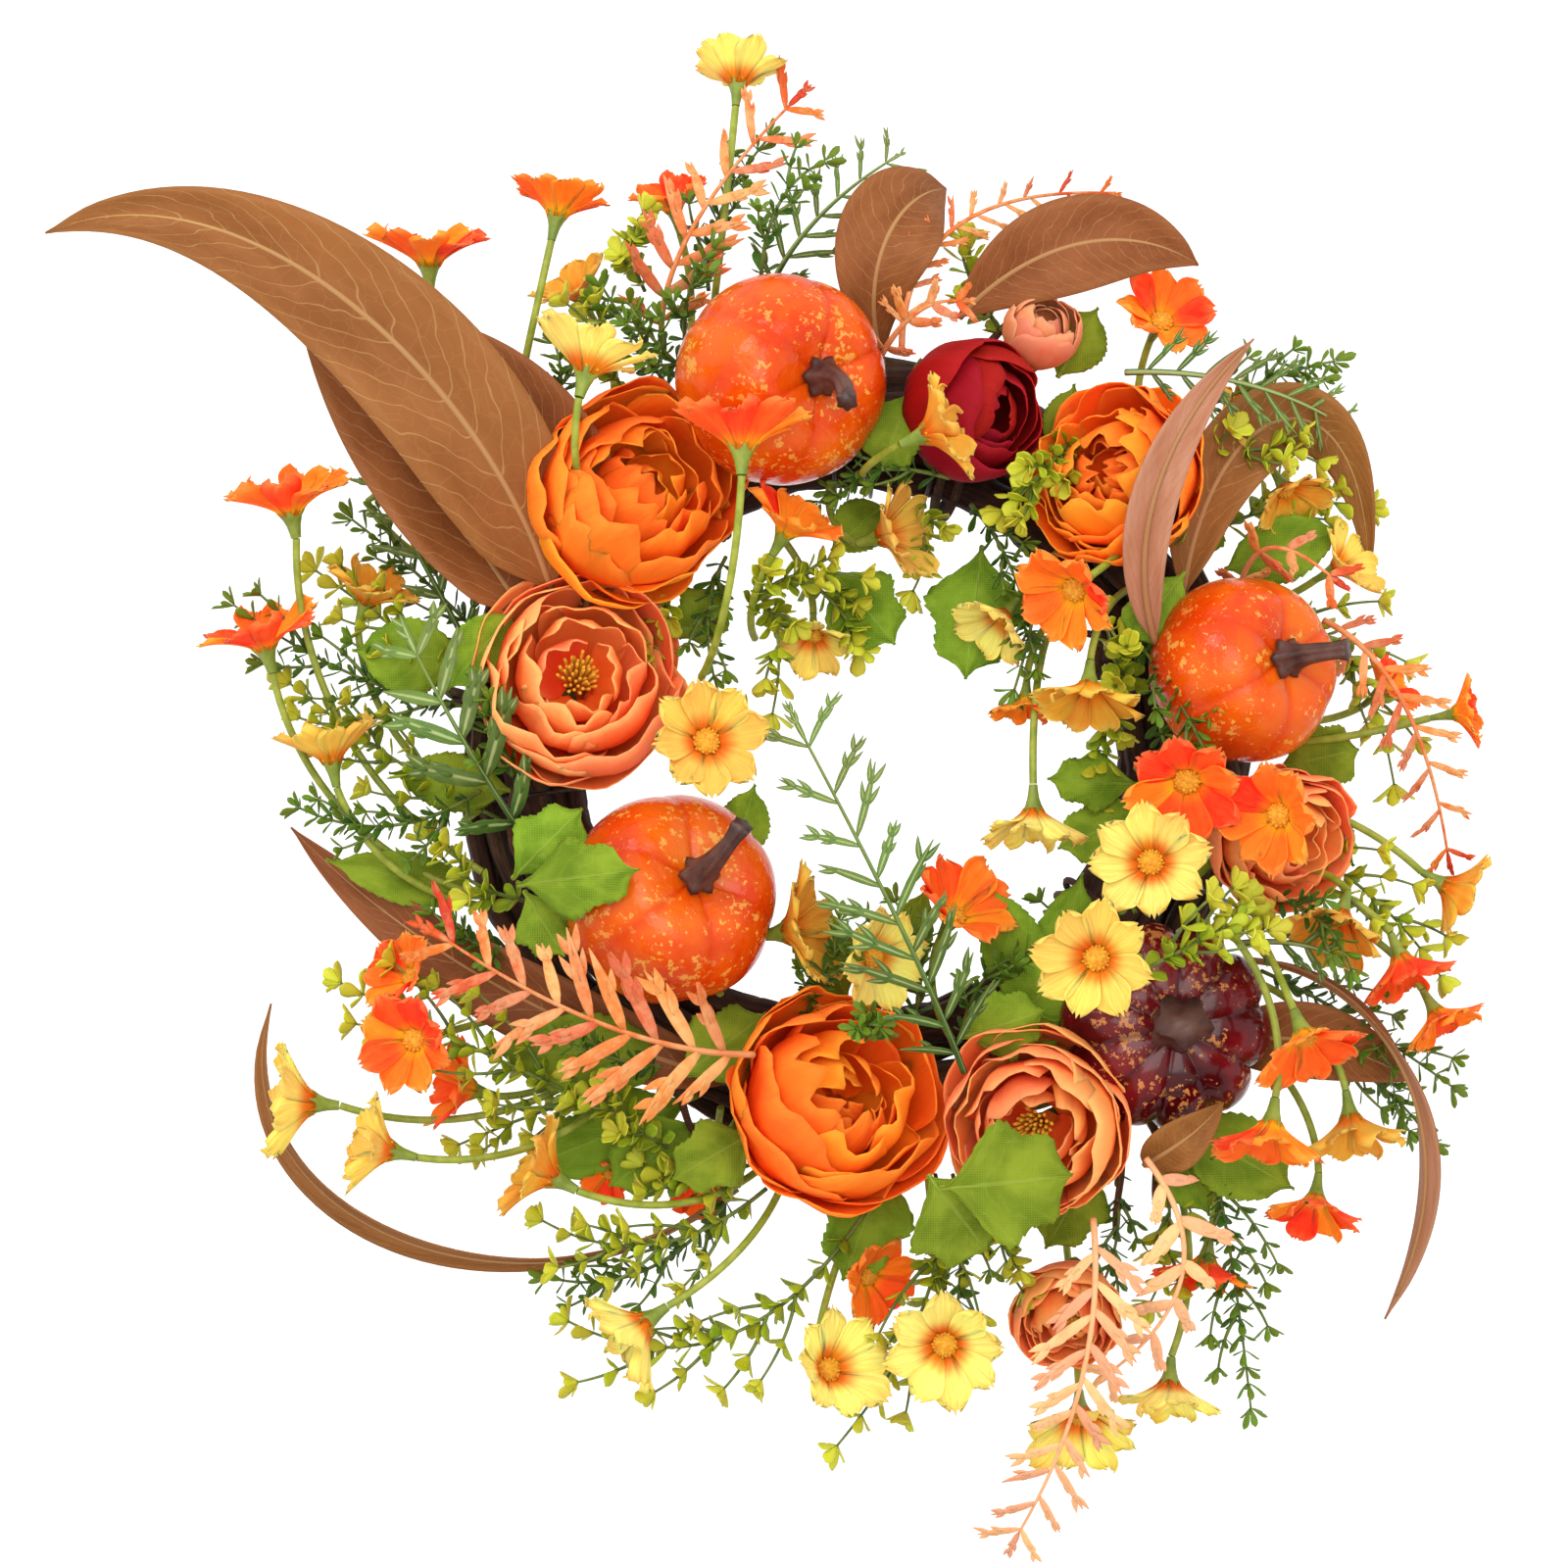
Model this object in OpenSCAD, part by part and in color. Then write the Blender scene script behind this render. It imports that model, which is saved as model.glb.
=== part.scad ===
// Harvest door wreath: a grapevine ring dressed with foam pumpkins, silk blooms,
// bronze leaves, daisies on wired stems and sprays of foliage.
//
// Frame: +Z is up, -Y faces the viewer, and the door is the plane Y = 0. The origin
// is the centre of the ring on that plane. A place on the face is [x, z, forward],
// in millimetres from the centre and forward of the door. The layout is drawn for a
// ring of layout_r and follows ring_r. A facing is [clock, tilt]: tilt 0 looks at the
// viewer, and a larger tilt leans towards that clock angle, clockwise from the top.

/* [Ring] */
// Radius of the ring's centreline
ring_r = 115; // [105:1:135]
// Radius of one vine hoop
vine_r = 9.3; // [8:0.1:9.3]
// Number of vine hoops in the bundle
vine_hoops = 5; // [5]
// Radius of the vine that wraps the bundle
wrap_vine_r = 2.2; // [1.6:0.1:2.6]
// Number of wraps round the bundle
wraps = 7; // [5:1:9]

/* [Hanging loop] */
// Width of the wire loop
loop_w = 28; // [26:1:32]
// Reach of the loop from its pivot
loop_drop = 30; // [28:1:32]
// Radius of its wire
loop_wire_r = 0.9; // [0.8:0.1:1]

/* [Pumpkins] */
// Radius of the upper pumpkin
pumpkin_top_r = 36; // [32:1:38]
// Radius of the right pumpkin
pumpkin_right_r = 32; // [28:1:34]
// Radius of the left pumpkin
pumpkin_left_r = 36; // [32:1:38]
// Radius of the dark ribbed pumpkin
pumpkin_dark_r = 37; // [34:1:40]

/* [Foliage] */
// Thickness of a leaf blade
blade_t = 1.2; // [0.8:0.1:1.6]
// Radius of a daisy stem
stem_r = 1.3; // [1:0.1:1.6]
// Width of a box sprig across its leaflets
sprig_w = 11; // [8:0.5:13]

/* [Hidden] */
$fn = 48;

layout_r = 115;      // the ring that the layout below is drawn for
hoop_gap = 0.15;     // clearance between neighbouring hoops
hoop_ring_r = (vine_r + hoop_gap) / sin(180 / vine_hoops);  // the hoops' circle in the bundle
bundle_r = hoop_ring_r + vine_r;
wrap_r = bundle_r + wrap_vine_r + 0.5;
bundle_fwd = wrap_r + wrap_vine_r;                // the wraps rest on the door
front = [0, -1, 0];

// Places and directions

function at(p) = [p[0] * ring_r / layout_r, -p[2], p[1] * ring_r / layout_r];
function unit(v) = v / norm(v);
function facing(f) = [sin(f[1]) * sin(f[0]), -cos(f[1]), sin(f[1]) * cos(f[0])];

// What is drawn along +Z stands at place p and looks along facing f.
module look(p, f) {
    translate(at(p)) rotate([0, f[0], 0]) rotate([90 - f[1], 0, 0]) children();
}

// The circle through a, m and b: its centre, the directions towards a and a quarter
// turn on, its radius and the angle from a to b.
function arc(a, m, b) =
    let (
        am = m - a,
        ab = b - a,
        w = cross(am, ab),
        c = a + (cross(w, am) * (ab * ab) - cross(w, ab) * (am * am)) / (2 * (w * w)),
        u = unit(a - c),
        v = cross(unit(w), u)
    )
    [c, u, v, norm(a - c), (atan2((b - c) * v, (b - c) * u) + 360) % 360];

// A round tube of radius r on the circular arc from a through m to b.
module arc_tube(a, m, b, r) {
    g = arc(a, m, b);
    c = g[0];
    u = g[1];
    v = g[2];
    n = cross(u, v);
    multmatrix([
        [u[0], v[0], n[0], c[0]],
        [u[1], v[1], n[1], c[1]],
        [u[2], v[2], n[2], c[2]],
        [0, 0, 0, 1]
    ]) rotate_extrude(angle = g[4]) translate([g[3], 0]) circle(r = r, $fn = 20);
}

// Leaf blades

function bezier(p, t) =
    pow(1 - t, 3) * p[0] + 3 * t * pow(1 - t, 2) * p[1] + 3 * t * t * (1 - t) * p[2]
    + pow(t, 3) * p[3];
// The four control points of a curve that leaves a, bows past m and ends at b.
function bow(a, m, b) =
    let (c = 2 * m - (a + b) / 2)
    [a, a + (c - a) * 2 / 3, b + (c - b) * 2 / 3, b];
function blade_width(t, fullest) = pow(sin(180 * pow(t, ln(0.5) / ln(fullest))), 0.85);
function turned(v, axis, angle) =
    v * cos(angle) + cross(axis, v) * sin(angle) + axis * (axis * v) * (1 - cos(angle));

// One row of four corners across the blade: an edge, the upper face, the other edge, the lower face.
function blade_row(p, t, width, roll, fullest) =
    let (
        c = bezier(p, t),
        d = unit(bezier(p, t + 0.01) - bezier(p, t - 0.01)),
        side = turned(unit(cross(d, front)), d, roll[0] + (roll[1] - roll[0]) * t),
        up = cross(side, d),
        half = width / 2 * blade_width(t, fullest),
        keel = -0.12 * half
    )
    [c - side * half, c + up * (keel + blade_t / 2), c + side * half, c + up * (keel - blade_t / 2)];

// A leaf along the curve with control points p. roll turns its face about its length, base
// to tip. Every second row is drawn in to the share waist of its width, which cuts leaflets.
module blade(p, width, roll = [0, 0], fullest = 0.45, rows = 12, waist = 1) {
    points = [
        p[0],
        for (i = [1 : rows - 1])
            each blade_row(p, i / rows, width * (i % 2 == 0 ? waist : 1), roll, fullest),
        p[3]
    ];
    last = len(points) - 1;
    faces = [
        for (k = [0 : 3]) [0, 1 + k, 1 + (k + 1) % 4],
        for (i = [0 : rows - 3], k = [0 : 3])
            let (a = 1 + 4 * i + k, b = 1 + 4 * i + (k + 1) % 4)
            each [[a, a + 4, b], [b, a + 4, b + 4]],
        for (k = [0 : 3]) [last, last - 4 + (k + 1) % 4, last - 4 + k]
    ];
    polyhedron(points, faces);
}

// Vine ring

module vine_hoop(i) {
    a = 360 * i / vine_hoops + 18;
    color("saddlebrown") translate([0, -bundle_fwd, 0]) rotate([90, 0, 0])
        rotate_extrude($fn = 128)
            translate([ring_r + hoop_ring_r * cos(a), hoop_ring_r * sin(a)]) circle(r = vine_r);
}

// A ring of wire of radius r round the bundle at a clock angle.
module band(clock, r, wire) {
    rotate([0, clock, 0]) translate([0, -bundle_fwd, ring_r]) rotate([0, 90, 0])
        rotate_extrude() translate([r, 0]) circle(r = wire, $fn = 24);
}

module vine_wraps() {
    color("peru") for (i = [0 : wraps - 1]) band(20 + 360 * i / wraps, wrap_r, wrap_vine_r);
}

// Each tip: root, middle, end, radius.
TIPS = [
    [[78, -112, 57], [92, -135, 62], [88, -168, 55], 2.4],
    [[92, -106, 56], [104, -130, 66], [102, -160, 64], 2.0],
    [[40, 128, 55], [46, 142, 60], [58, 150, 58], 2.6],
    [[82, 28, 56], [76, 42, 66], [70, 40, 60], 0.9],
    [[-108, -6, 56], [-118, -22, 64], [-114, -38, 58], 2.2],
    [[-52, -104, 57], [-60, -122, 66], [-50, -134, 58], 2.6]
];

module vine_tips() {
    color("saddlebrown") for (t = TIPS) arc_tube(at(t[0]), at(t[1]), at(t[2]), t[3]);
}

TIES = [16, 46, 78, 112, 148, 184, 226, 262, 298, 330];  // clock angles

tie_wire = 0.7;
tie_r = bundle_r + tie_wire + 0.2;

module wire_ties() {
    color("dimgray") for (clock = TIES) band(clock, tie_r, tie_wire);
}

// The loop turns on a pivot along X behind the top of the ring. It hangs down flat behind
// the ring, and swings out and up to stand above it.
saddle_clock = 4;       // the saddle's two bands stand this far either side of the top
sleeve_r = 2;
sleeve_l = 5;
pivot_fwd = 3.6;
pivot_z = ring_r + (vine_r + hoop_gap);

module hanging_loop() {
    half = loop_w / 2;
    color("dimgray") translate([0, -pivot_fwd, pivot_z]) {
        rotate([0, 90, 0]) cylinder(h = loop_w, r = loop_wire_r, center = true);
        for (x = [-half, half]) {
            translate([x, 0, 0]) sphere(r = loop_wire_r, $fn = 32);
            translate([x, 0, half - loop_drop]) cylinder(h = loop_drop - half, r = loop_wire_r);
        }
        translate([0, 0, half - loop_drop]) rotate([90, 180, 0])
            rotate_extrude(angle = 180) translate([half, 0]) circle(r = loop_wire_r, $fn = 24);
    }
}

// Two wire bands round the bundle, each with a sleeve that the loop's straight leg turns in.
module loop_saddle() {
    running_gap = 0.06;
    color("dimgray") for (side = [-1, 1]) {
        band(side * saddle_clock, tie_r, tie_wire);
        translate([side * pivot_z * sin(saddle_clock), -pivot_fwd, pivot_z]) rotate([0, 90, 0])
            difference() {
                cylinder(h = sleeve_l, r = sleeve_r, center = true);
                cylinder(h = sleeve_l + 1, r = loop_wire_r + running_gap, center = true);
            }
    }
}

// Pumpkins: each has a place, a facing and a stalk that bends towards [dx, dz].

TOP_AT = [-25, 125, 92];
TOP_FACING = [95, 30];
RIGHT_AT = [131, 27, 90];
RIGHT_FACING = [78, 36];
LEFT_AT = [-62, -51, 92];
LEFT_FACING = [50, 30];
DARK_AT = [106, -94, 84];
DARK_FACING = [90, 6];

// A smooth foam pumpkin of radius r, flattened along its axis, with a dimple at the stalk.
module smooth_pumpkin(r, flat = 0.86) {
    h = r * flat;
    dimple_r = r * 0.2;
    difference() {
        rotate_extrude($fn = 96) intersection() {
            union() {
                translate([r - h, 0]) circle(r = h, $fn = 96);
                translate([0, -h]) square([r - h + 0.01, 2 * h]);
            }
            translate([0, -h]) square([r, 2 * h]);
        }
        translate([0, 0, h - 3.5]) cylinder(h = 10, r1 = dimple_r * 0.6, r2 = dimple_r * 2);
    }
}

// A ribbed pumpkin: its outline swells and pinches round the axis, and its top dips.
module ribbed_pumpkin(r, lobes = 9) {
    round_steps = lobes * 5;
    rows = 11;
    rib = 0.13;
    high = r * 0.66;
    function outline(row, k) =
        let (
            lat = -90 + 180 * row / rows,
            turn = 360 * k / round_steps,
            ridge = 1 - rib * (1 - abs(cos(turn * lobes / 2))) * cos(lat * 0.8),
            dip = r * 0.16 * exp(-pow((90 - lat) / 26, 2))
        )
        [r * cos(lat) * ridge * cos(turn), r * cos(lat) * ridge * sin(turn), high * sin(lat) - dip];
    points = [
        [0, 0, -high],
        for (row = [1 : rows - 1], k = [0 : round_steps - 1]) outline(row, k),
        [0, 0, high - r * 0.16]
    ];
    last = len(points) - 1;
    faces = [
        for (k = [0 : round_steps - 1]) [0, 1 + k, 1 + (k + 1) % round_steps],
        for (row = [0 : rows - 3], k = [0 : round_steps - 1])
            let (a = 1 + row * round_steps + k, b = 1 + row * round_steps + (k + 1) % round_steps)
            each [[a, a + round_steps, b], [b, a + round_steps, b + round_steps]],
        for (k = [0 : round_steps - 1])
            [last, last - round_steps + (k + 1) % round_steps, last - round_steps + k]
    ];
    polyhedron(points, faces);
}

// A stalk along +Z: a flared foot, then a bent shaft.
module stalk(length, foot_r, top_r, lean) {
    foot = length * 0.35;
    cylinder(h = foot + 0.5, r1 = foot_r, r2 = top_r * 1.15);
    arc_tube([0, 0, foot], [lean * 0.35, 0, foot + (length - foot) * 0.55], [lean, 0, length], top_r);
}

// Blooms: a heart in one or two cups of petals round +Z, all on one core.

module petal_cup(r, open) {
    wall = 2;
    difference() {
        sphere(r = r, $fn = 64);
        sphere(r = r - wall, $fn = 64);
        translate([0, 0, r * open]) cylinder(h = 2 * r, r = 2 * r);
    }
}

module bloom(r) {
    petal_cup(r, 0.45);
    petal_cup(r * 0.78, 0.6);
    sphere(r = r * 0.5, $fn = 48);
    translate([0, 0, 1 - r]) cylinder(h = r * 0.6, r = r * 0.3);
}

module bud(r) {
    petal_cup(r, 0.75);
    sphere(r = r * 0.82, $fn = 48);
    translate([0, 0, 1 - r]) cylinder(h = r * 0.4, r = r * 0.3);
}

// Name, place, facing, radius, shape, tint.
BLOOMS = [
    ["ranunculus_upper_left", [-74, 86, 90], [64, 38], 37, "bloom", "darkorange"],
    ["peony_left", [-94, 24, 90], [30, 22], 36, "bloom", "coral"],
    ["ranunculus_bottom", [-7, -118, 91], [50, 30], 37, "bloom", "darkorange"],
    ["peony_bottom", [61, -127, 96], [240, 22], 32, "bloom", "coral"],
    ["peony_right", [146, -31, 84], [120, 35], 26, "bloom", "coral"],
    ["bud_burgundy", [41, 115, 84], [100, 45], 25, "bud", "maroon"],
    ["ranunculus_upper_right", [88, 93, 86], [310, 36], 31, "bloom", "darkorange"],
    ["bud_peach", [64, 143, 70], [30, 45], 13, "bud", "lightsalmon"],
    ["peony_low", [73, -195, 62], [190, 30], 20, "bloom", "coral"]
];

module bloom_head(b) {
    color(b[5]) look(b[1], b[2])
        if (b[4] == "bud") bud(b[3]); else bloom(b[3]);
}

// The green cup that hugs the back of each bloom.
module bloom_calyxes() {
    color("olivedrab") for (b = BLOOMS) {
        r = b[3];
        look(b[1], b[2]) difference() {
            translate([0, 0, -1.1 * r]) cylinder(h = 0.35 * r, r1 = 0.1 * r, r2 = 0.5 * r);
            sphere(r = r + 0.1, $fn = 64);
        }
    }
}

// Bronze leaves: four control places from base to tip, width, roll at base and tip, and how
// far along the leaf is fullest.
BRONZE = [
    [[[-103, 54, 84], [-124, 124, 122], [-205, 200, 118], [-273, 174, 96]], 47, [-4, 6], 0.3],
    [[[-112, 46, 76], [-142, 92, 84], [-176, 134, 78], [-194, 184, 52]], 42, [16, 6], 0.36],
    [[[-92, 46, 74], [-82, 88, 100], [-118, 126, 96], [-148, 148, 64]], 36, [-14, -8], 0.4],
    [[[-40, -114, 62], [-92, -100, 80], [-150, -72, 70], [-196, -27, 34]], 27, [8, -16], 0.42],
    [[[-40, -152, 52], [-108, -206, 62], [-224, -166, 66], [-202, -88, 44]], 14, [40, -26], 0.62],
    [[[10, 132, 62], [0, 162, 90], [14, 190, 90], [32, 194, 50]], 35, [8, -6], 0.56],
    [[[36, 148, 66], [58, 172, 82], [92, 182, 82], [118, 166, 66]], 33, [6, -4], 0.48],
    [[[101, 38, 92], [88, 74, 118], [106, 112, 118], [132, 137, 100]], 16, [-8, 14], 0.4],
    [[[112, 52, 74], [120, 124, 86], [176, 140, 72], [178, 56, 52]], 27, [-12, 24], 0.38],
    [[[122, -104, 62], [146, -92, 84], [172, -102, 78], [193, -114, 56]], 26, [4, -10], 0.42],
    [[[134, -72, 60], [178, -72, 96], [216, -130, 88], [184, -197, 48]], 13, [-30, 24], 0.6],
    [[[98, -141, 88], [104, -136, 104], [114, -130, 106], [124, -119, 98]], 17, [10, 0], 0.42]
];

module bronze_leaf(i) {
    b = BRONZE[i];
    color("sienna") blade([for (p = b[0]) at(p)], b[1], b[2], fullest = b[3], rows = 14);
}

// Green leaves: zone, base, tip, width, roll. A leaf arches forward between its ends.
GREEN = [
    ["left", [-116, -44, 88], [-92, -20, 98], 22, 10],
    ["left", [-114, -46, 92], [-72, -40, 134], 24, -20],
    ["left", [-112, -48, 88], [-98, -70, 96], 20, 0],
    ["left", [-134, 30, 58], [-172, 34, 66], 26, 0],
    ["left", [-128, -50, 50], [-182, -38, 56], 18, 25],
    ["left", [-136, 62, 52], [-146, 84, 46], 16, 0],
    ["left", [-118, -14, 60], [-160, -8, 58], 20, 10],
    ["left", [-116, 46, 84], [-138, 20, 88], 20, 0],
    ["left", [-60, 38, 60], [-44, 56, 60], 18, 0],
    ["left", [-42, -40, 66], [-34, -12, 60], 18, 0],
    ["top", [44, 70, 62], [38, 24, 70], 30, 0],
    ["top", [-8, 62, 66], [14, 36, 66], 24, 12],
    ["top", [70, 128, 60], [84, 152, 60], 20, 0],
    ["top", [76, 126, 56], [70, 100, 60], 16, 0],
    ["top", [10, 84, 62], [-8, 68, 70], 18, 0],
    ["top", [20, 122, 80], [8, 94, 90], 22, 0],
    ["right", [128, 62, 56], [168, 76, 62], 22, 20],
    ["right", [112, 66, 42], [126, 90, 44], 20, -20],
    ["right", [112, 60, 84], [92, 36, 92], 20, 0],
    ["right", [146, -6, 60], [173, 0, 66], 24, 0],
    ["right", [150, -20, 56], [172, -40, 60], 22, 0],
    ["right", [98, -12, 60], [66, -10, 70], 18, 10],
    ["right", [102, -20, 58], [70, -34, 62], 22, 0],
    ["right", [100, -24, 62], [126, -38, 80], 24, 0],
    ["bottom", [-62, -106, 64], [-126, -102, 70], 28, 8],
    ["bottom", [-54, -120, 46], [-112, -144, 50], 26, -8],
    ["bottom", [-52, -128, 56], [-84, -150, 62], 26, 0],
    ["bottom", [-30, -90, 72], [-60, -112, 82], 24, 0],
    ["bottom", [-34, -130, 76], [-62, -146, 82], 22, 0],
    ["bottom", [36, -98, 84], [64, -88, 96], 22, 0],
    ["bottom", [12, -140, 58], [-4, -182, 66], 28, 0],
    ["bottom", [28, -146, 124], [72, -142, 118], 36, 4],
    ["bottom", [24, -142, 118], [44, -168, 112], 34, 0],
    ["bottom", [84, -140, 52], [66, -172, 56], 24, 0],
    ["bottom", [112, -128, 72], [150, -150, 74], 28, 0],
    ["bottom", [106, -128, 66], [122, -160, 64], 22, 0],
    ["bottom", [62, -88, 66], [46, -46, 72], 22, 0],
    ["bottom", [66, -86, 62], [78, -42, 72], 20, 0],
    ["bottom", [-2, -86, 60], [-20, -48, 62], 20, 20],
    ["bottom", [8, -88, 60], [26, -46, 62], 18, -20],
    ["bottom", [54, -98, 66], [70, -72, 84], 22, 0],
    ["bottom", [52, -104, 70], [70, -92, 82], 16, 0]
];

module green_leaves(zone) {
    color("yellowgreen") for (g = GREEN) if (g[0] == zone) {
        base = at(g[1]);
        tip = at(g[2]);
        top = (base + tip) / 2 + front * 0.12 * norm(tip - base);
        blade(bow(base, top, tip), g[3], [g[4], -g[4]], fullest = 0.5, rows = 8);
    }
}

// Daisies: zone, tint, place, facing, radius, where the stem is rooted.
DAISIES = [
    ["upper_left", "yellow", [-40, 228, 62], [5, 112], 17, [-50, 140, 50]],
    ["upper_left", "orange", [-102, 182, 68], [12, 98], 18, [-118, 112, 52]],
    ["upper_left", "orange", [-146, 166, 60], [0, 84], 21, [-122, 98, 50]],
    ["upper_left", "yellow", [-94, 156, 52], [330, 70], 15, [-84, 112, 50]],
    ["upper_left", "orange", [-62, 186, 50], [345, 70], 15, [-60, 126, 50]],
    ["upper_left", "yellow", [-90, 124, 122], [15, 104], 21, [-92, 88, 104]],
    ["upper_left", "orange", [-192, 80, 74], [350, 80], 22, [-128, -42, 58]],
    ["upper_left", "yellow", [-163, 90, 44], [60, 60], 12, [-128, 60, 46]],
    ["upper_left", "orange", [-201, 34, 72], [345, 80], 21, [-130, -50, 56]],
    ["upper_left", "yellow", [-168, 50, 60], [20, 78], 17, [-128, -20, 52]],
    ["upper_left", "yellow", [-178, -5, 76], [350, 84], 18, [-126, -54, 56]],
    ["upper_left", "yellow", [-50, 2, 126], [45, 12], 20, [-62, 8, 90]],
    ["upper_left", "orange", [-38, 98, 134], [0, 98], 22, [-52, 24, 92]],
    ["upper_left", "orange", [-24, 72, 102], [30, 72], 18, [-34, 38, 72]],
    ["upper_left", "yellow", [22, 104, 122], [68, 82], 19, [4, 92, 80]],
    ["upper_left", "yellow", [8, 72, 84], [75, 66], 18, [-8, 92, 60]],
    ["upper_left", "yellow", [-14, 40, 70], [180, 50], 14, [-24, 72, 56]],
    ["upper_right", "orange", [105, 146, 62], [30, 40], 18, [98, 112, 50]],
    ["upper_right", "yellow", [130, 110, 62], [60, 50], 15, [108, 92, 50]],
    ["upper_right", "yellow", [147, 90, 68], [150, 62], 15, [118, 80, 50]],
    ["upper_right", "yellow", [165, 62, 64], [60, 60], 15, [124, 46, 52]],
    ["upper_right", "orange", [74, 54, 112], [230, 48], 19, [94, 76, 70]],
    ["upper_right", "yellow", [51, 46, 86], [220, 62], 15, [84, 70, 60]],
    ["upper_right", "orange", [58, 18, 82], [185, 80], 13, [82, 54, 58]],
    ["upper_right", "yellow", [78, 22, 108], [185, 68], 19, [100, 56, 66]],
    ["upper_right", "yellow", [60, -20, 96], [180, 84], 18, [66, 38, 66]],
    ["upper_right", "orange", [110, -10, 122], [200, 30], 20, [114, 30, 72]],
    ["upper_right", "yellow", [98, -38, 122], [300, 10], 20, [108, -22, 72]],
    ["upper_right", "orange", [141, -22, 124], [260, 34], 19, [128, -18, 74]],
    ["upper_right", "orange", [204, 12, 76], [80, 76], 13, [138, 2, 52]],
    ["upper_right", "orange", [182, 20, 50], [50, 70], 14, [136, 14, 48]],
    ["upper_right", "yellow", [202, -46, 62], [120, 88], 16, [140, -16, 52]],
    ["lower_right", "yellow", [79, -69, 138], [250, 12], 20, [94, -62, 74]],
    ["lower_right", "yellow", [164, -55, 96], [200, 62], 18, [136, -44, 60]],
    ["lower_right", "orange", [185, -70, 82], [160, 74], 17, [138, -48, 56]],
    ["lower_right", "orange", [198, -89, 74], [150, 76], 16, [136, -54, 54]],
    ["lower_right", "orange", [148, -94, 124], [160, 66], 20, [136, -62, 80]],
    ["lower_right", "orange", [138, -124, 122], [190, 74], 20, [120, -56, 112]],
    ["lower_right", "yellow", [168, -124, 84], [172, 76], 18, [132, -78, 54]],
    ["lower_right", "orange", [157, -152, 78], [190, 66], 17, [128, -96, 54]],
    ["lower_right", "orange", [120, -173, 76], [190, 80], 17, [108, -112, 54]],
    ["lower_right", "yellow", [108, -216, 68], [185, 78], 19, [96, -120, 52]],
    ["lower_right", "yellow", [78, -228, 54], [180, 50], 20, [68, -128, 50]],
    ["lower_right", "yellow", [30, -200, 98], [180, 10], 20, [24, -132, 62]],
    ["lower_right", "orange", [4, -180, 66], [110, 42], 16, [14, -128, 58]],
    ["lower_right", "yellow", [-10, -210, 92], [60, 36], 19, [16, -132, 60]],
    ["lower_right", "orange", [33, -58, 78], [30, 55], 20, [34, -100, 58]],
    ["lower_right", "yellow", [5, -70, 88], [100, 36], 18, [12, -98, 60]],
    ["lower_left", "yellow", [-70, -193, 92], [235, 80], 20, [-22, -140, 58]],
    ["lower_left", "yellow", [-101, -145, 94], [300, 86], 20, [-30, -142, 60]],
    ["lower_left", "yellow", [-156, -136, 92], [285, 78], 18, [-72, -106, 58]],
    ["lower_left", "yellow", [-184, -121, 72], [275, 84], 20, [-78, -100, 58]],
    ["lower_left", "orange", [-130, -117, 66], [285, 70], 17, [-84, -98, 56]],
    ["lower_left", "orange", [-148, -98, 94], [260, 26], 18, [-100, -86, 58]],
    ["lower_left", "orange", [-150, -78, 80], [300, 52], 15, [-104, -76, 56]],
    ["lower_left", "yellow", [-24, -62, 88], [80, 74], 22, [-46, -84, 62]],
    ["lower_left", "orange", [-52, -150, 48], [200, 40], 12, [-46, -124, 44]],
    ["lower_left", "orange", [-84, -146, 46], [230, 50], 11, [-66, -114, 44]]
];

CALYX = 8;         // length of the green cone under a daisy
CUP = 0.5;         // depth of the petal dish for each unit of radius
DISC = 0.27;       // radius of the pollen disc for each unit of radius

// A daisy round +Z: a dish of petals on a calyx, with the pollen disc in it.
module daisy(r) {
    neck = r * 0.2;
    depth = r * CUP;
    difference() {
        union() {
            cylinder(h = depth, r1 = neck, r2 = r);
            translate([0, 0, -CALYX]) cylinder(h = CALYX + 0.5, r1 = stem_r, r2 = neck);
        }
        translate([0, 0, 1.2]) cylinder(h = depth, r1 = neck, r2 = r);
    }
    cylinder(h = depth * 0.6 + 1.5, r = r * DISC);
}

module daisies(tint, zone) {
    for (d = DAISIES) if (d[0] == zone && d[1] == tint)
        color(tint == "orange" ? "orangered" : "gold") look(d[2], d[3]) daisy(d[4]);
}

// The stem leaves the calyx straight and bends over to its root.
module daisy_stems(zone) {
    color("yellowgreen") for (d = DAISIES) if (d[0] == zone) {
        dir = facing(d[3]);
        head = at(d[2]) - dir * (CALYX + 0.3);
        root = at(d[5]);
        chord = unit(root - head);
        away = -dir + chord * (dir * chord);
        lean = norm(away) > 0.1 ? unit(away) : unit(cross(chord, [1, 0, 0.3]));
        arc_tube(head, (head + root) / 2 + lean * norm(root - head) * 0.14, root, stem_r);
    }
}

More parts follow.
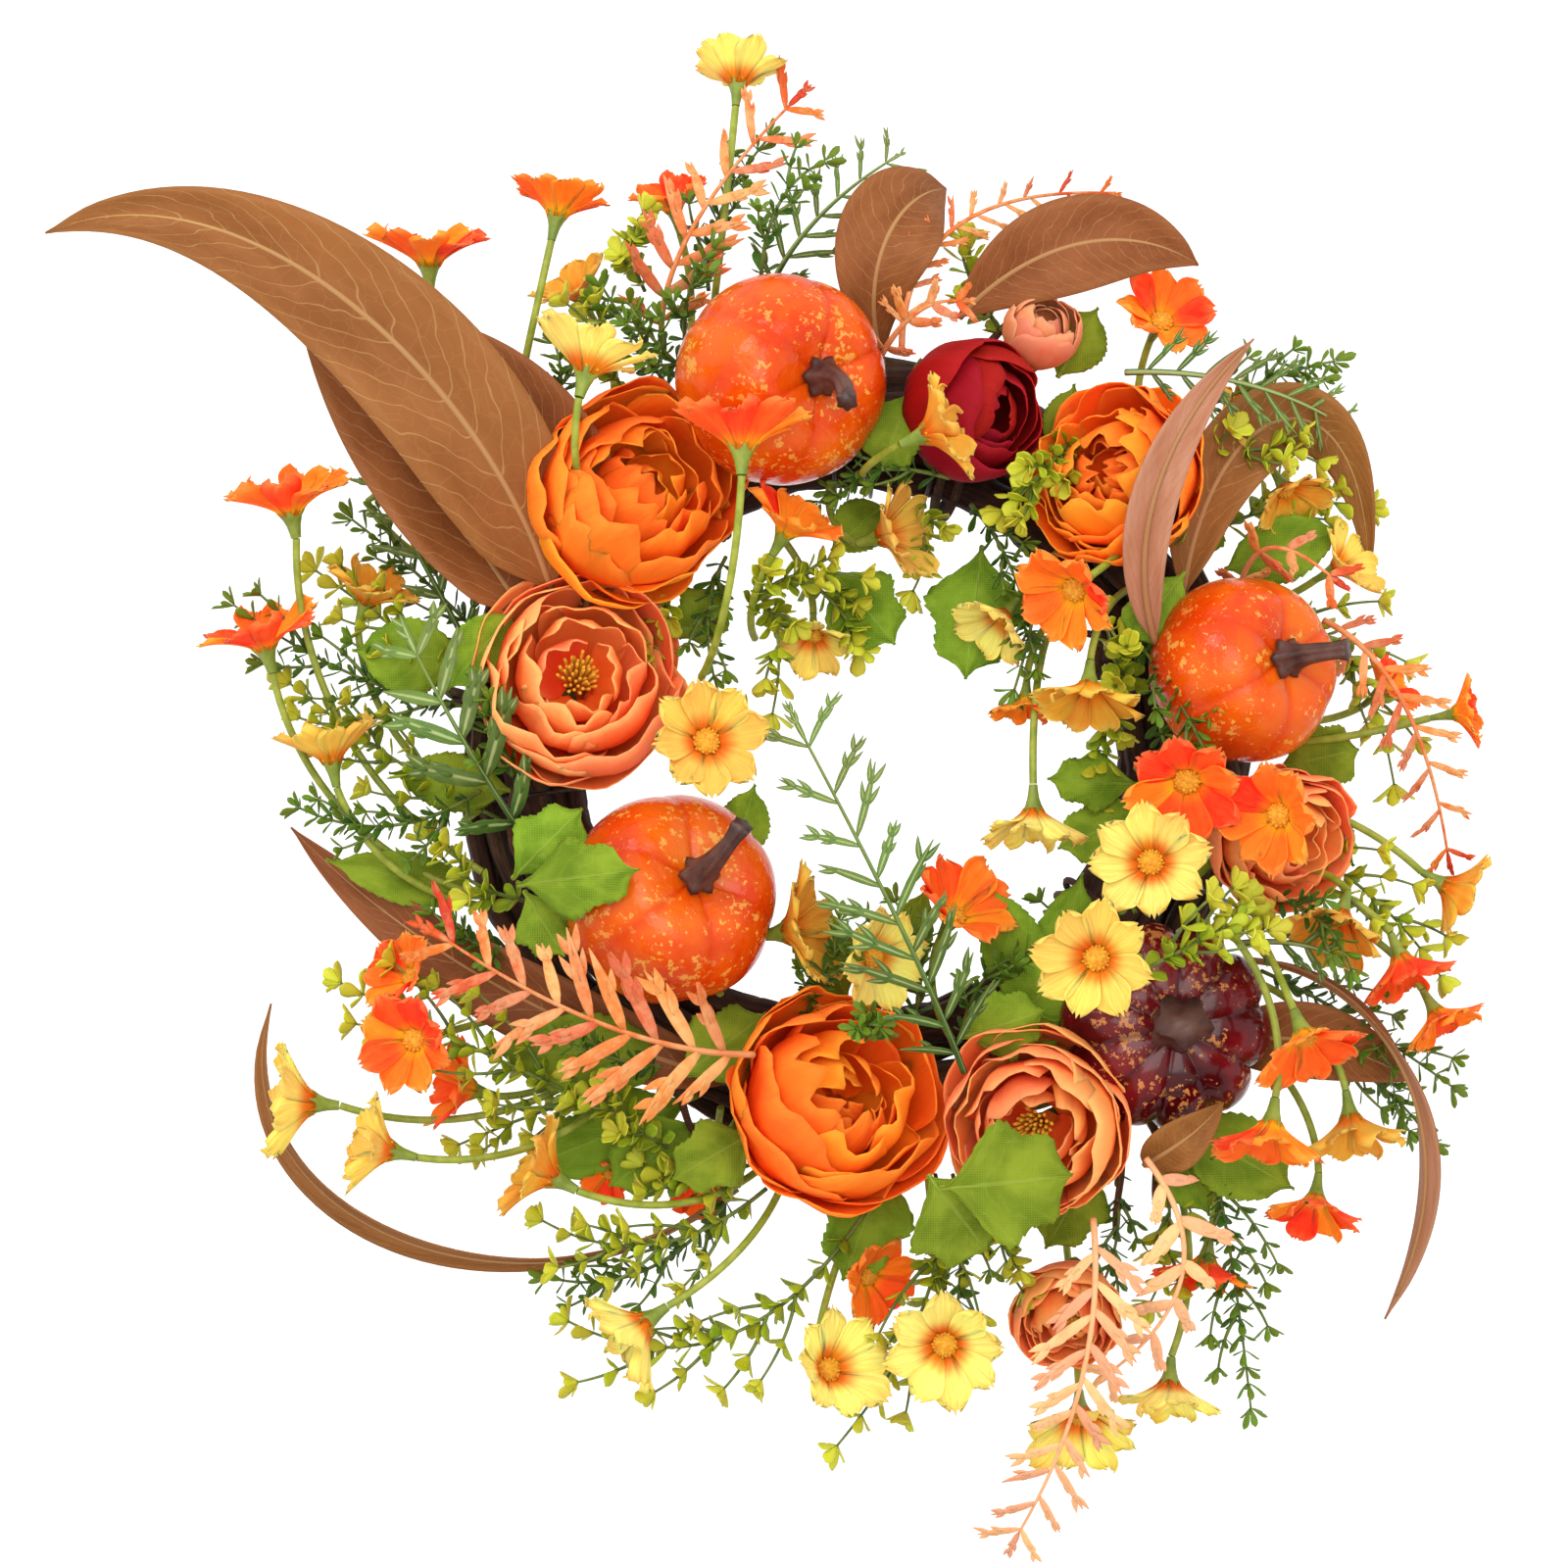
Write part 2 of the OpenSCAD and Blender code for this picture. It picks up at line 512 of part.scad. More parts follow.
// Sprays: root, middle, end, leaflet length, pairs of leaflets.
FERNS = [
    [[-34, -102, 116], [-82, -92, 130], [-136, -64, 118], 34, 8],
    [[80, -158, 100], [76, -212, 102], [56, -268, 72], 26, 9],
    [[98, -138, 96], [110, -176, 100], [86, -212, 84], 20, 5],
    [[160, 44, 76], [186, 16, 84], [204, -36, 62], 20, 7],
    [[-66, 140, 64], [-56, 176, 78], [-22, 222, 58], 28, 7],
    [[16, 136, 80], [34, 178, 72], [88, 193, 46], 14, 9],
    [[132, 52, 62], [140, 68, 86], [160, 58, 100], 18, 3],
    [[8, 132, 82], [20, 146, 104], [34, 150, 106], 16, 3]
];
CUTLEAF = [
    [[36, -108, 112], [16, -62, 128], [-17, 3, 112], 34, 8],
    [[-112, -30, 86], [-130, 0, 104], [-148, 32, 96], 38, 4],
    [[-30, 156, 60], [-14, 180, 70], [12, 203, 54], 22, 6],
    [[92, 128, 82], [130, 124, 90], [166, 112, 66], 22, 7],
    [[-130, 30, 54], [-148, 64, 60], [-164, 92, 48], 20, 4],
    [[132, -66, 78], [150, -66, 92], [166, -72, 88], 16, 4]
];

module spray(s) {
    spread = 1.5;  // width across a pair of leaflets for each unit of leaflet length
    blade(bow(at(s[0]), at(s[1]), at(s[2])), s[3] * spread, fullest = 0.4, rows = 2 * s[4] + 2,
        waist = 0.22);
}

module fern_sprays() {
    color("sandybrown") for (s = FERNS) spray(s);
}

module cutleaf_sprays() {
    color("darkseagreen") for (s = CUTLEAF) spray(s);
}

// Box sprigs: side, root, middle, end, number of whorls.
SPRIGS = [
    ["left", [-124, 14, 56], [-168, 24, 62], [-214, 50, 54], 7],
    ["left", [-130, 20, 52], [-158, 42, 60], [-186, 62, 50], 5],
    ["left", [-122, -24, 54], [-160, -2, 62], [-196, 24, 52], 7],
    ["left", [-78, 116, 54], [-86, 138, 68], [-98, 152, 72], 5],
    ["left", [-62, 122, 56], [-76, 142, 72], [-86, 158, 70], 5],
    ["left", [-104, 110, 60], [-100, 124, 78], [-102, 138, 80], 4],
    ["left", [-112, -52, 66], [-132, -44, 78], [-146, -30, 70], 5],
    ["left", [-74, -128, 66], [-124, -104, 82], [-176, -80, 66], 8],
    ["left", [-30, -150, 72], [-68, -168, 84], [-106, -160, 84], 7],
    ["left", [4, -158, 70], [-44, -200, 78], [-98, -196, 66], 8],
    ["left", [-64, -136, 70], [-80, -124, 86], [-96, -112, 78], 5],
    ["left", [-24, -138, 66], [-54, -146, 74], [-72, -142, 68], 5],
    ["left", [-32, 52, 74], [-26, 36, 84], [-28, 12, 78], 5],
    ["left", [-44, 66, 64], [-50, 44, 78], [-46, 18, 72], 4],
    ["left", [-36, 46, 82], [-22, 58, 96], [2, 58, 94], 6],
    ["left", [-12, 84, 76], [6, 94, 90], [32, 92, 84], 6],
    ["left", [-50, 158, 58], [-46, 184, 64], [-28, 212, 58], 7],
    ["left", [-58, 138, 64], [-56, 156, 82], [-48, 170, 84], 4],
    ["left", [-128, -14, 66], [-158, -26, 76], [-190, -20, 68], 6],
    ["left", [-126, 36, 46], [-150, 60, 50], [-174, 80, 44], 5],
    ["left", [-118, -68, 58], [-130, -66, 72], [-144, -56, 68], 4],
    ["left", [-66, -108, 76], [-84, -104, 92], [-100, -98, 88], 5],
    ["left", [-88, -118, 56], [-112, -126, 64], [-136, -136, 58], 5],
    ["left", [-40, -150, 56], [-70, -178, 62], [-106, -182, 54], 6],
    ["left", [-54, 126, 70], [-68, 138, 96], [-76, 150, 98], 4],
    ["left", [-72, 158, 58], [-76, 172, 72], [-72, 184, 70], 4],
    ["left", [-32, 158, 74], [-26, 184, 88], [-10, 200, 80], 5],
    ["left", [-18, 60, 70], [-4, 46, 76], [2, 34, 70], 4],
    ["left", [-66, 58, 60], [-68, 42, 72], [-64, 22, 66], 4],
    ["left", [-110, -10, 84], [-122, 4, 100], [-126, 22, 96], 5],
    ["left", [-16, -92, 72], [-10, -74, 90], [4, -58, 92], 4],
    ["right", [40, 84, 66], [52, 64, 82], [60, 40, 78], 6],
    ["right", [62, 62, 76], [60, 44, 90], [54, 20, 86], 5],
    ["right", [92, 42, 70], [106, 20, 104], [120, -8, 110], 6],
    ["right", [84, 20, 60], [86, 4, 66], [84, -16, 60], 4],
    ["right", [98, 24, 60], [88, 30, 92], [94, 44, 80], 4],
    ["right", [136, -54, 92], [116, -62, 134], [90, -76, 128], 7],
    ["right", [112, -46, 84], [104, -40, 104], [92, -50, 112], 4],
    ["right", [142, -32, 60], [172, -46, 68], [202, -78, 58], 7],
    ["right", [140, -76, 60], [170, -92, 68], [206, -116, 58], 7],
    ["right", [120, -128, 70], [128, -172, 78], [136, -226, 66], 8],
    ["right", [106, -134, 58], [108, -166, 64], [102, -190, 60], 5],
    ["right", [60, -146, 60], [50, -164, 70], [58, -186, 66], 5],
    ["right", [28, -146, 60], [24, -188, 78], [-6, -238, 72], 9],
    ["right", [34, -146, 60], [36, -180, 74], [30, -216, 70], 6],
    ["right", [48, -134, 56], [52, -152, 62], [36, -166, 64], 4],
    ["right", [14, -96, 110], [4, -92, 122], [8, -92, 128], 2],
    ["right", [110, 112, 58], [140, 126, 66], [166, 134, 54], 6],
    ["right", [138, 44, 60], [168, 34, 64], [186, -12, 58], 6],
    ["right", [36, -100, 70], [44, -78, 82], [58, -70, 84], 5],
    ["right", [54, 140, 56], [40, 162, 60], [38, 176, 56], 4],
    ["right", [142, -50, 84], [156, -58, 106], [166, -74, 108], 5],
    ["right", [146, -102, 56], [176, -112, 58], [200, -136, 50], 6],
    ["right", [90, -142, 56], [90, -170, 60], [80, -194, 54], 5],
    ["right", [104, 12, 72], [108, -6, 94], [122, -22, 92], 5],
    ["right", [96, -6, 68], [106, -24, 84], [98, -36, 94], 4],
    ["right", [74, 106, 70], [62, 92, 98], [50, 80, 96], 4],
    ["right", [18, 84, 64], [24, 70, 76], [20, 54, 72], 4],
    ["right", [114, 94, 60], [136, 102, 78], [158, 98, 74], 5],
    ["right", [126, 76, 54], [150, 84, 58], [178, 84, 52], 5],
    ["right", [72, -90, 66], [76, -70, 72], [64, -52, 66], 4],
    ["right", [20, -92, 70], [22, -72, 80], [14, -52, 78], 4]
];

// A sprig is narrow and carries small whorls of leaflets along its stem.
module sprig(s) {
    blade(bow(at(s[1]), at(s[2]), at(s[3])), sprig_w, fullest = 0.55, rows = 2 * s[4], waist = 0.25);
}

module box_sprigs(side) {
    color("olivedrab") for (s = SPRIGS) if (s[0] == side) sprig(s);
}

// The nodes

for (i = [1 : vine_hoops]) vine_hoop(i - 1);
vine_wraps();
vine_tips();
wire_ties();
hanging_loop();
loop_saddle();

color("orangered") look(TOP_AT, TOP_FACING) smooth_pumpkin(pumpkin_top_r);  // pumpkin_top
color("orangered") look(RIGHT_AT, RIGHT_FACING) smooth_pumpkin(pumpkin_right_r);  // pumpkin_right
color("orangered") look(LEFT_AT, LEFT_FACING) smooth_pumpkin(pumpkin_left_r);  // pumpkin_left
color("darkred") look(DARK_AT, DARK_FACING) ribbed_pumpkin(pumpkin_dark_r);  // pumpkin_dark
color("dimgray") look(TOP_AT, TOP_FACING) translate([0, 0, 27.6]) rotate([0, 0, -25])  // pumpkin_top_stalk
        stalk(24, 5, 2.2, 12);
color("dimgray") look(RIGHT_AT, RIGHT_FACING) translate([0, 0, 24.2]) rotate([0, 0, 80])  // pumpkin_right_stalk
        stalk(22, 4.5, 2.2, 8);
color("dimgray") look(LEFT_AT, LEFT_FACING) translate([0, 0, 27.6]) rotate([0, 0, 120])  // pumpkin_left_stalk
        stalk(30, 5, 2.6, 10);
color("dimgray") look(DARK_AT, DARK_FACING) translate([0, 0, 13]) stalk(18, 9, 7.4, 1.5);  // pumpkin_dark_stalk

for (b = BLOOMS) bloom_head(b);
bloom_calyxes();

for (i = [1 : len(BRONZE)]) bronze_leaf(i - 1);
for (zone = ["left", "top", "right", "bottom"])
    green_leaves(zone);

for (zone = ["upper_left", "lower_left", "upper_right", "lower_right"]) {
    daisies("orange", zone);
    daisies("yellow", zone);
    daisy_stems(zone);
}

fern_sprays();
cutleaf_sprays();
box_sprigs("left");  // box_sprigs_left
box_sprigs("right");  // box_sprigs_right
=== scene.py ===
"""Looks of the harvest door wreath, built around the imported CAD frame.

Every soft piece takes its place, facing and size from the CAD node that it stands for:
a flower from the solid of revolution under it, a leaf or spray from its blade's rows.
Lengths are metres. Each mesh carries a colour attribute "mark", which its material reads:
red = across the petal or leaf (0 to 1), green = along it, blue = a random number for each
petal, alpha = a second number, usually one for the whole flower or spray.
"""

import math

import bpy
import numpy as np
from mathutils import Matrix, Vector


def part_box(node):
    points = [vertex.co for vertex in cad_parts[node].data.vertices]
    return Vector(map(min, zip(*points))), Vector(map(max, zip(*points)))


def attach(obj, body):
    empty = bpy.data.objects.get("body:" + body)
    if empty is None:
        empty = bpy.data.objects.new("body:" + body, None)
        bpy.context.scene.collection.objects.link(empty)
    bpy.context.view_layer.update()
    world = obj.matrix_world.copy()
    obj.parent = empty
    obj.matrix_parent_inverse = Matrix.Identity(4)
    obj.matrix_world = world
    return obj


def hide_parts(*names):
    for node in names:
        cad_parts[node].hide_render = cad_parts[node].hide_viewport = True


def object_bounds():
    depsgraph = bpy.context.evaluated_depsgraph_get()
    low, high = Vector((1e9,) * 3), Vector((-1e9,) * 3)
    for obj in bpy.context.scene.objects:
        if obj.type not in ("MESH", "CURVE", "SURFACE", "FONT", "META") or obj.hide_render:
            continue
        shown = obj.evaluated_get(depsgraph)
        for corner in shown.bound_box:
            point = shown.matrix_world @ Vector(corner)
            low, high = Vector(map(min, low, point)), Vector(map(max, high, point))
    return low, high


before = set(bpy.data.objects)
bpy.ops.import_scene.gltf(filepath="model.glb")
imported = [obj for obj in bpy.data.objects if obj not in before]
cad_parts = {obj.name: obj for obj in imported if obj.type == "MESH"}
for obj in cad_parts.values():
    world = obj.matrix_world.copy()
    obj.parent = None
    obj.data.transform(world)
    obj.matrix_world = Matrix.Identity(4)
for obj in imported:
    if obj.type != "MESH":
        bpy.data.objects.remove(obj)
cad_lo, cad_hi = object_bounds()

MM = 0.001
TAU = 2 * math.pi
GOLDEN = 2.399963                            # radians between neighbours in a spiral of florets
THIN, SILK, WOVEN, SATIN = 0.0003, 0.00035, 0.0004, 0.0005      # how thick the cloths are
BODY = "wreath"

# ---------- vectors


def unit(v):
    v = np.asarray(v, float)
    return v / max(np.linalg.norm(v), 1e-12)


def unit_rows(a):
    return a / np.maximum(np.linalg.norm(a, axis=1, keepdims=True), 1e-12)


def across(axis):
    """Two unit directions square to axis."""
    axis = unit(axis)
    x = np.cross((0, 0, 1), axis)
    if np.linalg.norm(x) < 0.05:
        x = np.cross((1, 0, 0), axis)
    x = unit(x)
    return x, np.cross(axis, x)


def basis(axis, turn=0.0):
    """A 3x3 matrix whose third column is axis, turned about it."""
    x, y = across(axis)
    c, s = math.cos(turn), math.sin(turn)
    return np.column_stack([c * x + s * y, c * y - s * x, unit(axis)])


def smooth(t, a, b):
    """0 below a, 1 above b, smooth between."""
    t = np.clip((np.asarray(t, float) - a) / (b - a), 0, 1)
    return t * t * (3 - 2 * t)


def resample(points, count):
    """A smooth curve through points, as count points spaced by parameter."""
    p = np.asarray(points, float)
    n = len(p)
    t = np.linspace(0, n - 1, count)
    i = np.clip(t.astype(int), 0, n - 2)
    f = (t - i)[:, None] if p.ndim > 1 else t - i
    p0, p1 = p[np.maximum(i - 1, 0)], p[i]
    p2, p3 = p[i + 1], p[np.minimum(i + 2, n - 1)]
    return 0.5 * (2 * p1 + (p2 - p0) * f + (2 * p0 - 5 * p1 + 4 * p2 - p3) * f ** 2
                  + (3 * p1 - p0 - 3 * p2 + p3) * f ** 3)


def tangents(path):
    return unit_rows(np.gradient(path, axis=0))


def plane(cols, rows):
    """Places across (-1 to 1) and along (0 to 1) a grid."""
    return np.linspace(-1, 1, cols)[None], np.linspace(0, 1, rows)[:, None]


def circle(count):
    """Angles round a circle, as one row of a grid."""
    return TAU * np.arange(count)[None] / count


def about(points, c, axis):
    """How far points lie along an axis through c, and how far from it."""
    tall = (points - c) @ axis
    return tall, np.linalg.norm((points - c) - np.outer(tall, axis), axis=1)


def dice(seed):
    return np.random.default_rng(seed)


# ---------- meshes


class Build:
    """Collects grids and tubes into one mesh object."""

    def __init__(self):
        self.points, self.marks, self.faces, self.total = [], [], [], 0

    def grid(self, p, mark, wrap=False):
        """p is rows x columns x 3. mark is four arrays or numbers that fit rows x columns."""
        rows, cols = p.shape[:2]
        marks = np.stack([np.broadcast_to(np.asarray(m, float), (rows, cols)) for m in mark], -1)
        k = self.total + np.arange(rows * cols).reshape(rows, cols)
        nxt = np.roll(k, -1, 1) if wrap else k[:, 1:]
        cur = k if wrap else k[:, :-1]
        quads = np.stack([cur[:-1], nxt[:-1], nxt[1:], cur[1:]], -1).reshape(-1, 4)
        self.points.append(p.reshape(-1, 3))
        self.marks.append(marks.reshape(-1, 4))
        self.faces.extend(quads.tolist())
        self.total += rows * cols
        return k

    def cap(self, *rings):
        """Closes rings of points that grid returned."""
        self.faces.extend(ring.tolist() for ring in rings)

    def tube(self, path, radius, sides=8, mark=(None, None, 0, 0), wobble=1):
        """A closed round tube along path. radius is a number or one for each point."""
        path = np.asarray(path, float)
        n = len(path)
        d = tangents(path)
        x = across(d[0])[0]
        one = np.empty((n, 3))
        for k in range(n):
            one[k] = x = unit(x - d[k] * (x @ d[k]))
        two = np.cross(d, one)
        a = circle(sides)[..., None]
        r = np.broadcast_to(np.asarray(radius, float), (n,))[:, None] * wobble
        p = path[:, None] + (one[:, None] * np.cos(a) + two[:, None] * np.sin(a)) * r[..., None]
        own = (np.arange(sides) / sides, np.linspace(0, 1, n)[:, None], 0, 0)
        k = self.grid(p, [o if m is None else m for o, m in zip(own, mark)], wrap=True)
        self.cap(k[0][::-1], k[-1])

    def object(self, name, material, thick=0.0):
        mesh = bpy.data.meshes.new(name)
        mesh.from_pydata(np.concatenate(self.points).tolist(), [], self.faces)
        attribute = mesh.color_attributes.new("mark", "FLOAT_COLOR", "POINT")
        attribute.data.foreach_set("color", np.concatenate(self.marks).astype(np.float32).ravel())
        mesh.polygons.foreach_set("use_smooth", [True] * len(mesh.polygons))
        mesh.materials.append(material)
        mesh.update()
        o = link(name, mesh)
        if thick:
            shell = o.modifiers.new("thickness", "SOLIDIFY")
            shell.thickness = thick
            shell.offset = 0.0
        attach(o, BODY)
        return o


def link(name, data):
    """A new object in the scene."""
    o = bpy.data.objects.new(name, data)
    bpy.context.collection.objects.link(o)
    return o


# ---------- the CAD frame


def loose_parts(node):
    """The solids of a CAD node: for each, its points and the pairs of points joined by an edge."""
    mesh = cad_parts[node].data
    n = len(mesh.vertices)
    co = np.empty(3 * n)
    mesh.vertices.foreach_get("co", co)
    points, at = np.unique(np.round(co.reshape(-1, 3), 6), axis=0, return_inverse=True)
    at = at.reshape(-1)
    edges = np.empty(2 * len(mesh.edges), int)
    mesh.edges.foreach_get("vertices", edges)
    edges = at[edges.reshape(-1, 2)]
    edges = np.unique(np.sort(edges[edges[:, 0] != edges[:, 1]], 1), axis=0)
    label = np.arange(len(points))
    while True:
        low = np.minimum(label[edges[:, 0]], label[edges[:, 1]])
        new = label.copy()
        np.minimum.at(new, edges[:, 0], low)
        np.minimum.at(new, edges[:, 1], low)
        new = new[new]
        if (new == label).all():
            break
        label = new
    parts = []
    for root in np.unique(label):
        own = np.flatnonzero(label == root)
        index = np.full(len(points), -1)
        index[own] = np.arange(len(own))
        mine = index[edges[label[edges[:, 0]] == root]]
        parts.append((points[own], mine))
    return sorted(parts, key=lambda part: tuple(np.round(part[0].mean(0), 4)))


def revolve(points):
    """Centroid, axis and largest radius of a solid of revolution."""
    c = points.mean(0)
    values, vectors = np.linalg.eigh(np.cov((points - c).T))
    axis = vectors[:, 0 if values[1] - values[0] > values[2] - values[1] else 2]
    return c, axis, about(points, c, axis)[1].max()


def rim_axis(points):
    """The axis of a dish of revolution, square to the plane of its widest ring."""
    far = np.linalg.norm(points - points.mean(0), axis=1)
    return np.linalg.eigh(np.cov(points[far > 0.97 * far.max()].T))[1][:, 0]


def blade_frames(part):
    """Centres, side directions, face directions and widths of a blade's rows, base to tip."""
    points, edges = part
    near = [[] for _ in points]
    for a, b in edges:
        near[a].append(b)
        near[b].append(a)
    ends = [k for k in range(len(points)) if len(near[k]) == 4]
    if len(ends) != 2:
        return None
    layer = [min(ends, key=lambda k: abs(math.hypot(*points[k][[0, 2]]) - RING_R)
                 + 0.5 * abs(points[k][1] - RING_Y))]
    seen, rows = set(layer), []
    while layer:
        rows.append(points[layer])
        layer = sorted({q for p in layer for q in near[p]} - seen)
        seen.update(layer)
    if any(len(r) != 4 for r in rows[1:-1]):
        return None
    last = len(rows) - 1
    best = max(range(1, last), key=lambda i: np.ptp(rows[i], axis=0).max())
    centre, side, face = np.zeros((3, last + 1, 3))
    width = np.zeros(last + 1)
    centre[0], centre[last] = rows[0][0], rows[last][0]
    # each row's edges are the pair that lies most nearly as its neighbour's do
    up, down = range(best + 1, last), range(best - 1, 0, -1)
    for i, before in [(best, None)] + [(i, i - 1) for i in up] + [(i, i + 1) for i in down]:
        r = rows[i]

        def size(pair):
            d = r[pair[0]] - r[pair[1]]
            return np.linalg.norm(d) if before is None else abs(d @ side[before])

        a, b = max(((0, 1), (0, 2), (0, 3), (2, 3), (1, 3), (1, 2)), key=size)
        c, d = (k for k in range(4) if k not in (a, b))
        width[i] = np.linalg.norm(r[a] - r[b])
        side[i] = unit(r[a] - r[b])
        if before is not None and side[i] @ side[before] < 0:
            side[i] = -side[i]
        centre[i] = (r[a] + r[b]) / 2
        f = unit(r[c] - r[d])
        face[i] = f if f @ (centre[i] - (r[c] + r[d]) / 2) >= 0 else -f
    for way in (side, face):
        way[0], way[last] = way[1], way[last - 1]
    # near the ends the keel is too shallow to tell the face from the back
    for i in [*range(best + 1, last + 1), *range(best - 1, -1, -1)]:
        if face[i] @ face[i - 1 if i > best else i + 1] < 0:
            face[i] = -face[i]
    if (np.cross(side, tangents(centre)) * face).sum() < 0:
        side = -side
    return centre, side, face, width


def blades(node):
    """The rows of each blade of a CAD node. Any that have merged are left out."""
    found = [blade_frames(part) for part in loose_parts(node)]
    whole = [rows for rows in found if rows is not None]
    if len(whole) < len(found):
        print("merged blades in", node)
    return whole



hoops = []       # radius, depth and half thickness of each hoop
for low, high in (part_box(f"vine_hoop_{k}") for k in range(1, 6)):
    half = (high[1] - low[1]) / 2
    hoops.append(((high[0] - low[0]) / 2 - half, (high[1] + low[1]) / 2, half))
RING_R, RING_Y = (sum(h[k] for h in hoops) / len(hoops) for k in (0, 1))

# ---------- materials


DYE = 0.66      # the studio is bright, so all but the silk is mixed darker
MAT = {}        # every finished material by name


def srgb(r, g, b, dye=DYE):
    """A 0 to 255 display colour as a linear one."""
    return tuple(dye * (c / 255 / 12.92 if c < 10.31 else ((c / 255 + 0.055) / 1.055) ** 2.4)
                 for c in (r, g, b)) + (1.0,)


def silk(r, g, b):
    """The colour of a petal, which is thin and lit from both sides."""
    return srgb(r, g, b, 1.0)


class Shader:
    """A Principled material made node by node."""

    def __init__(self, name, rough, specular, coat=0.0, subsurface=0.0):
        self.name = name
        self.material = bpy.data.materials.new(name)
        self.material.use_nodes = True
        self.tree = self.material.node_tree
        self.sockets = self.tree.nodes["Principled BSDF"].inputs
        self.fill(self.sockets, {"Roughness": rough, "Specular IOR Level": specular,
                                 "Coat Weight": coat, "Subsurface Weight": subsurface})
        if coat:
            self.fill(self.sockets, {"Coat Roughness": 0.12})
        if subsurface:
            self.fill(self.sockets, {"Subsurface Scale": 0.0016,
                                     "Subsurface Radius": (1.0, 0.6, 0.35)})
        mark = self.add("Attribute", attribute_name="mark")
        split = self.add("SeparateColor", {"Color": mark.outputs["Color"]})
        self.u, self.v, self.each = split.outputs
        self.whole = mark.outputs["Alpha"]
        self.position = self.add("TexCoord").outputs["Object"]

    def fill(self, sockets, values):
        """Puts a number, a colour or another node's output into each named socket."""
        for key, value in values.items():
            if isinstance(value, bpy.types.NodeSocket):
                self.tree.links.new(value, sockets[key])
            else:
                sockets[key].default_value = value

    def add(self, kind, values=None, **settings):
        node = self.tree.nodes.new("ShaderNode" + kind)
        for key, value in settings.items():
            setattr(node, key, value)
        self.fill(node.inputs, values or {})
        return node

    def math(self, operation, *values):
        return self.add("Math", dict(enumerate(values)), operation=operation).outputs[0]

    def times(self, a, b):
        return self.math("MULTIPLY", a, b)

    def span(self, value, low, high, to_low=0.0, to_high=1.0):
        return self.add("MapRange", {"Value": value, "From Min": low, "From Max": high,
                                     "To Min": to_low, "To Max": to_high},
                        interpolation_type="SMOOTHSTEP").outputs[0]

    def mix(self, share, a, b):
        return self.add("Mix", {0: share, 6: a, 7: b}, data_type="RGBA").outputs[2]

    def vector(self, x, y, z):
        return self.add("CombineXYZ", {0: x, 1: y, 2: z}).outputs[0]

    def scaled(self, x, y, z):
        """The mark's own plane stretched: u by x, v by y, one slice for each petal."""
        return self.vector(self.times(self.u, x), self.times(self.v, y), self.times(self.each, z))

    def out(self):
        """0 on the midrib, 1 at the two rims."""
        return self.math("ABSOLUTE", self.math("MULTIPLY_ADD", self.u, 2.0, -1.0))

    def stray(self, value, noise, by):
        """A value moved up and down with a noise."""
        return self.math("ADD", value, self.times(self.math("SUBTRACT", noise, 0.5), by))

    def noise(self, at, scale, detail=3.0, rough=0.55, distort=0.0):
        return self.add("TexNoise", {"Vector": at, "Scale": scale, "Detail": detail,
                                     "Roughness": rough, "Distortion": distort}).outputs["Fac"]

    def cells(self, at, scale, feature="F1"):
        return self.add("TexVoronoi", {"Vector": at, "Scale": scale},
                        feature=feature).outputs["Distance"]

    def weave(self, pitch):
        """A woven cloth's height, 0 to 1, from two crossed sets of threads."""
        x, _, z = self.add("SeparateXYZ", {0: self.position}).outputs
        one, two = (self.math("SINE", self.times(self.math(way, x, z), TAU / pitch))
                    for way in ("ADD", "SUBTRACT"))
        return self.math("MULTIPLY_ADD", self.times(one, two), 0.5, 0.5)

    def shift(self, colour, hue, light):
        """Moves hue and brightness by up to these amounts, with the petal's own number."""
        return self.add("HueSaturation", {
            "Hue": self.span(self.each, 0.0, 1.0, 0.5 - hue, 0.5 + hue),
            "Value": self.span(self.each, 0.0, 1.0, 1 - light, 1 + light),
            "Color": colour}).outputs[0]

    def bump(self, height, depth, strength):
        """Adds relief, on top of any that is there."""
        node = self.add("Bump", {"Strength": strength, "Distance": depth, "Height": height})
        for old in self.sockets["Normal"].links:
            self.fill(node.inputs, {"Normal": old.from_socket})
        self.fill(self.sockets, {"Normal": node.outputs[0]})

    def done(self, colour, rough=None):
        self.fill(self.sockets, {"Base Color": colour})
        if rough is not None:
            self.fill(self.sockets, {"Roughness": rough})
        MAT[self.name] = self.material


def petal_cloth(name, inner, body, edge, deep, inner_to=0.22, hue=0.008, pale=None):
    """Dyed silk petal: colour runs from its root to its rim, with fine ribs along it."""
    s = Shader(name, rough=0.75, specular=0.08, subsurface=0.75)
    ribs = s.noise(s.scaled(22.0, 1.6, 37.0), 1.0, 4.0, 0.6)
    wash = s.noise(s.scaled(2.4, 2.2, 53.0), 1.0)
    colour = s.mix(s.span(wash, 0.4, 0.75, 0.0, 0.8), body, deep)
    if pale is not None:
        colour = s.mix(s.span(s.whole, 0.35, 0.95), colour, pale)
    colour = s.mix(s.span(s.stray(s.v, ribs, 0.35), 0.72, 1.08, 0.0, 0.85), colour, edge)
    root = s.span(s.stray(s.v, ribs, 0.25), inner_to * 0.35, inner_to * 1.5, 1.0, 0.0)
    colour = s.mix(root, colour, inner)
    colour = s.mix(s.span(ribs, 0.35, 0.7, 0.0, 0.35), colour, deep)
    colour = s.shift(colour, hue, 0.05)
    s.bump(ribs, 0.0005, 0.6)
    s.bump(s.weave(0.0009), 0.00004, 0.4)
    s.done(colour, s.span(ribs, 0.2, 0.8, 0.66, 0.82))


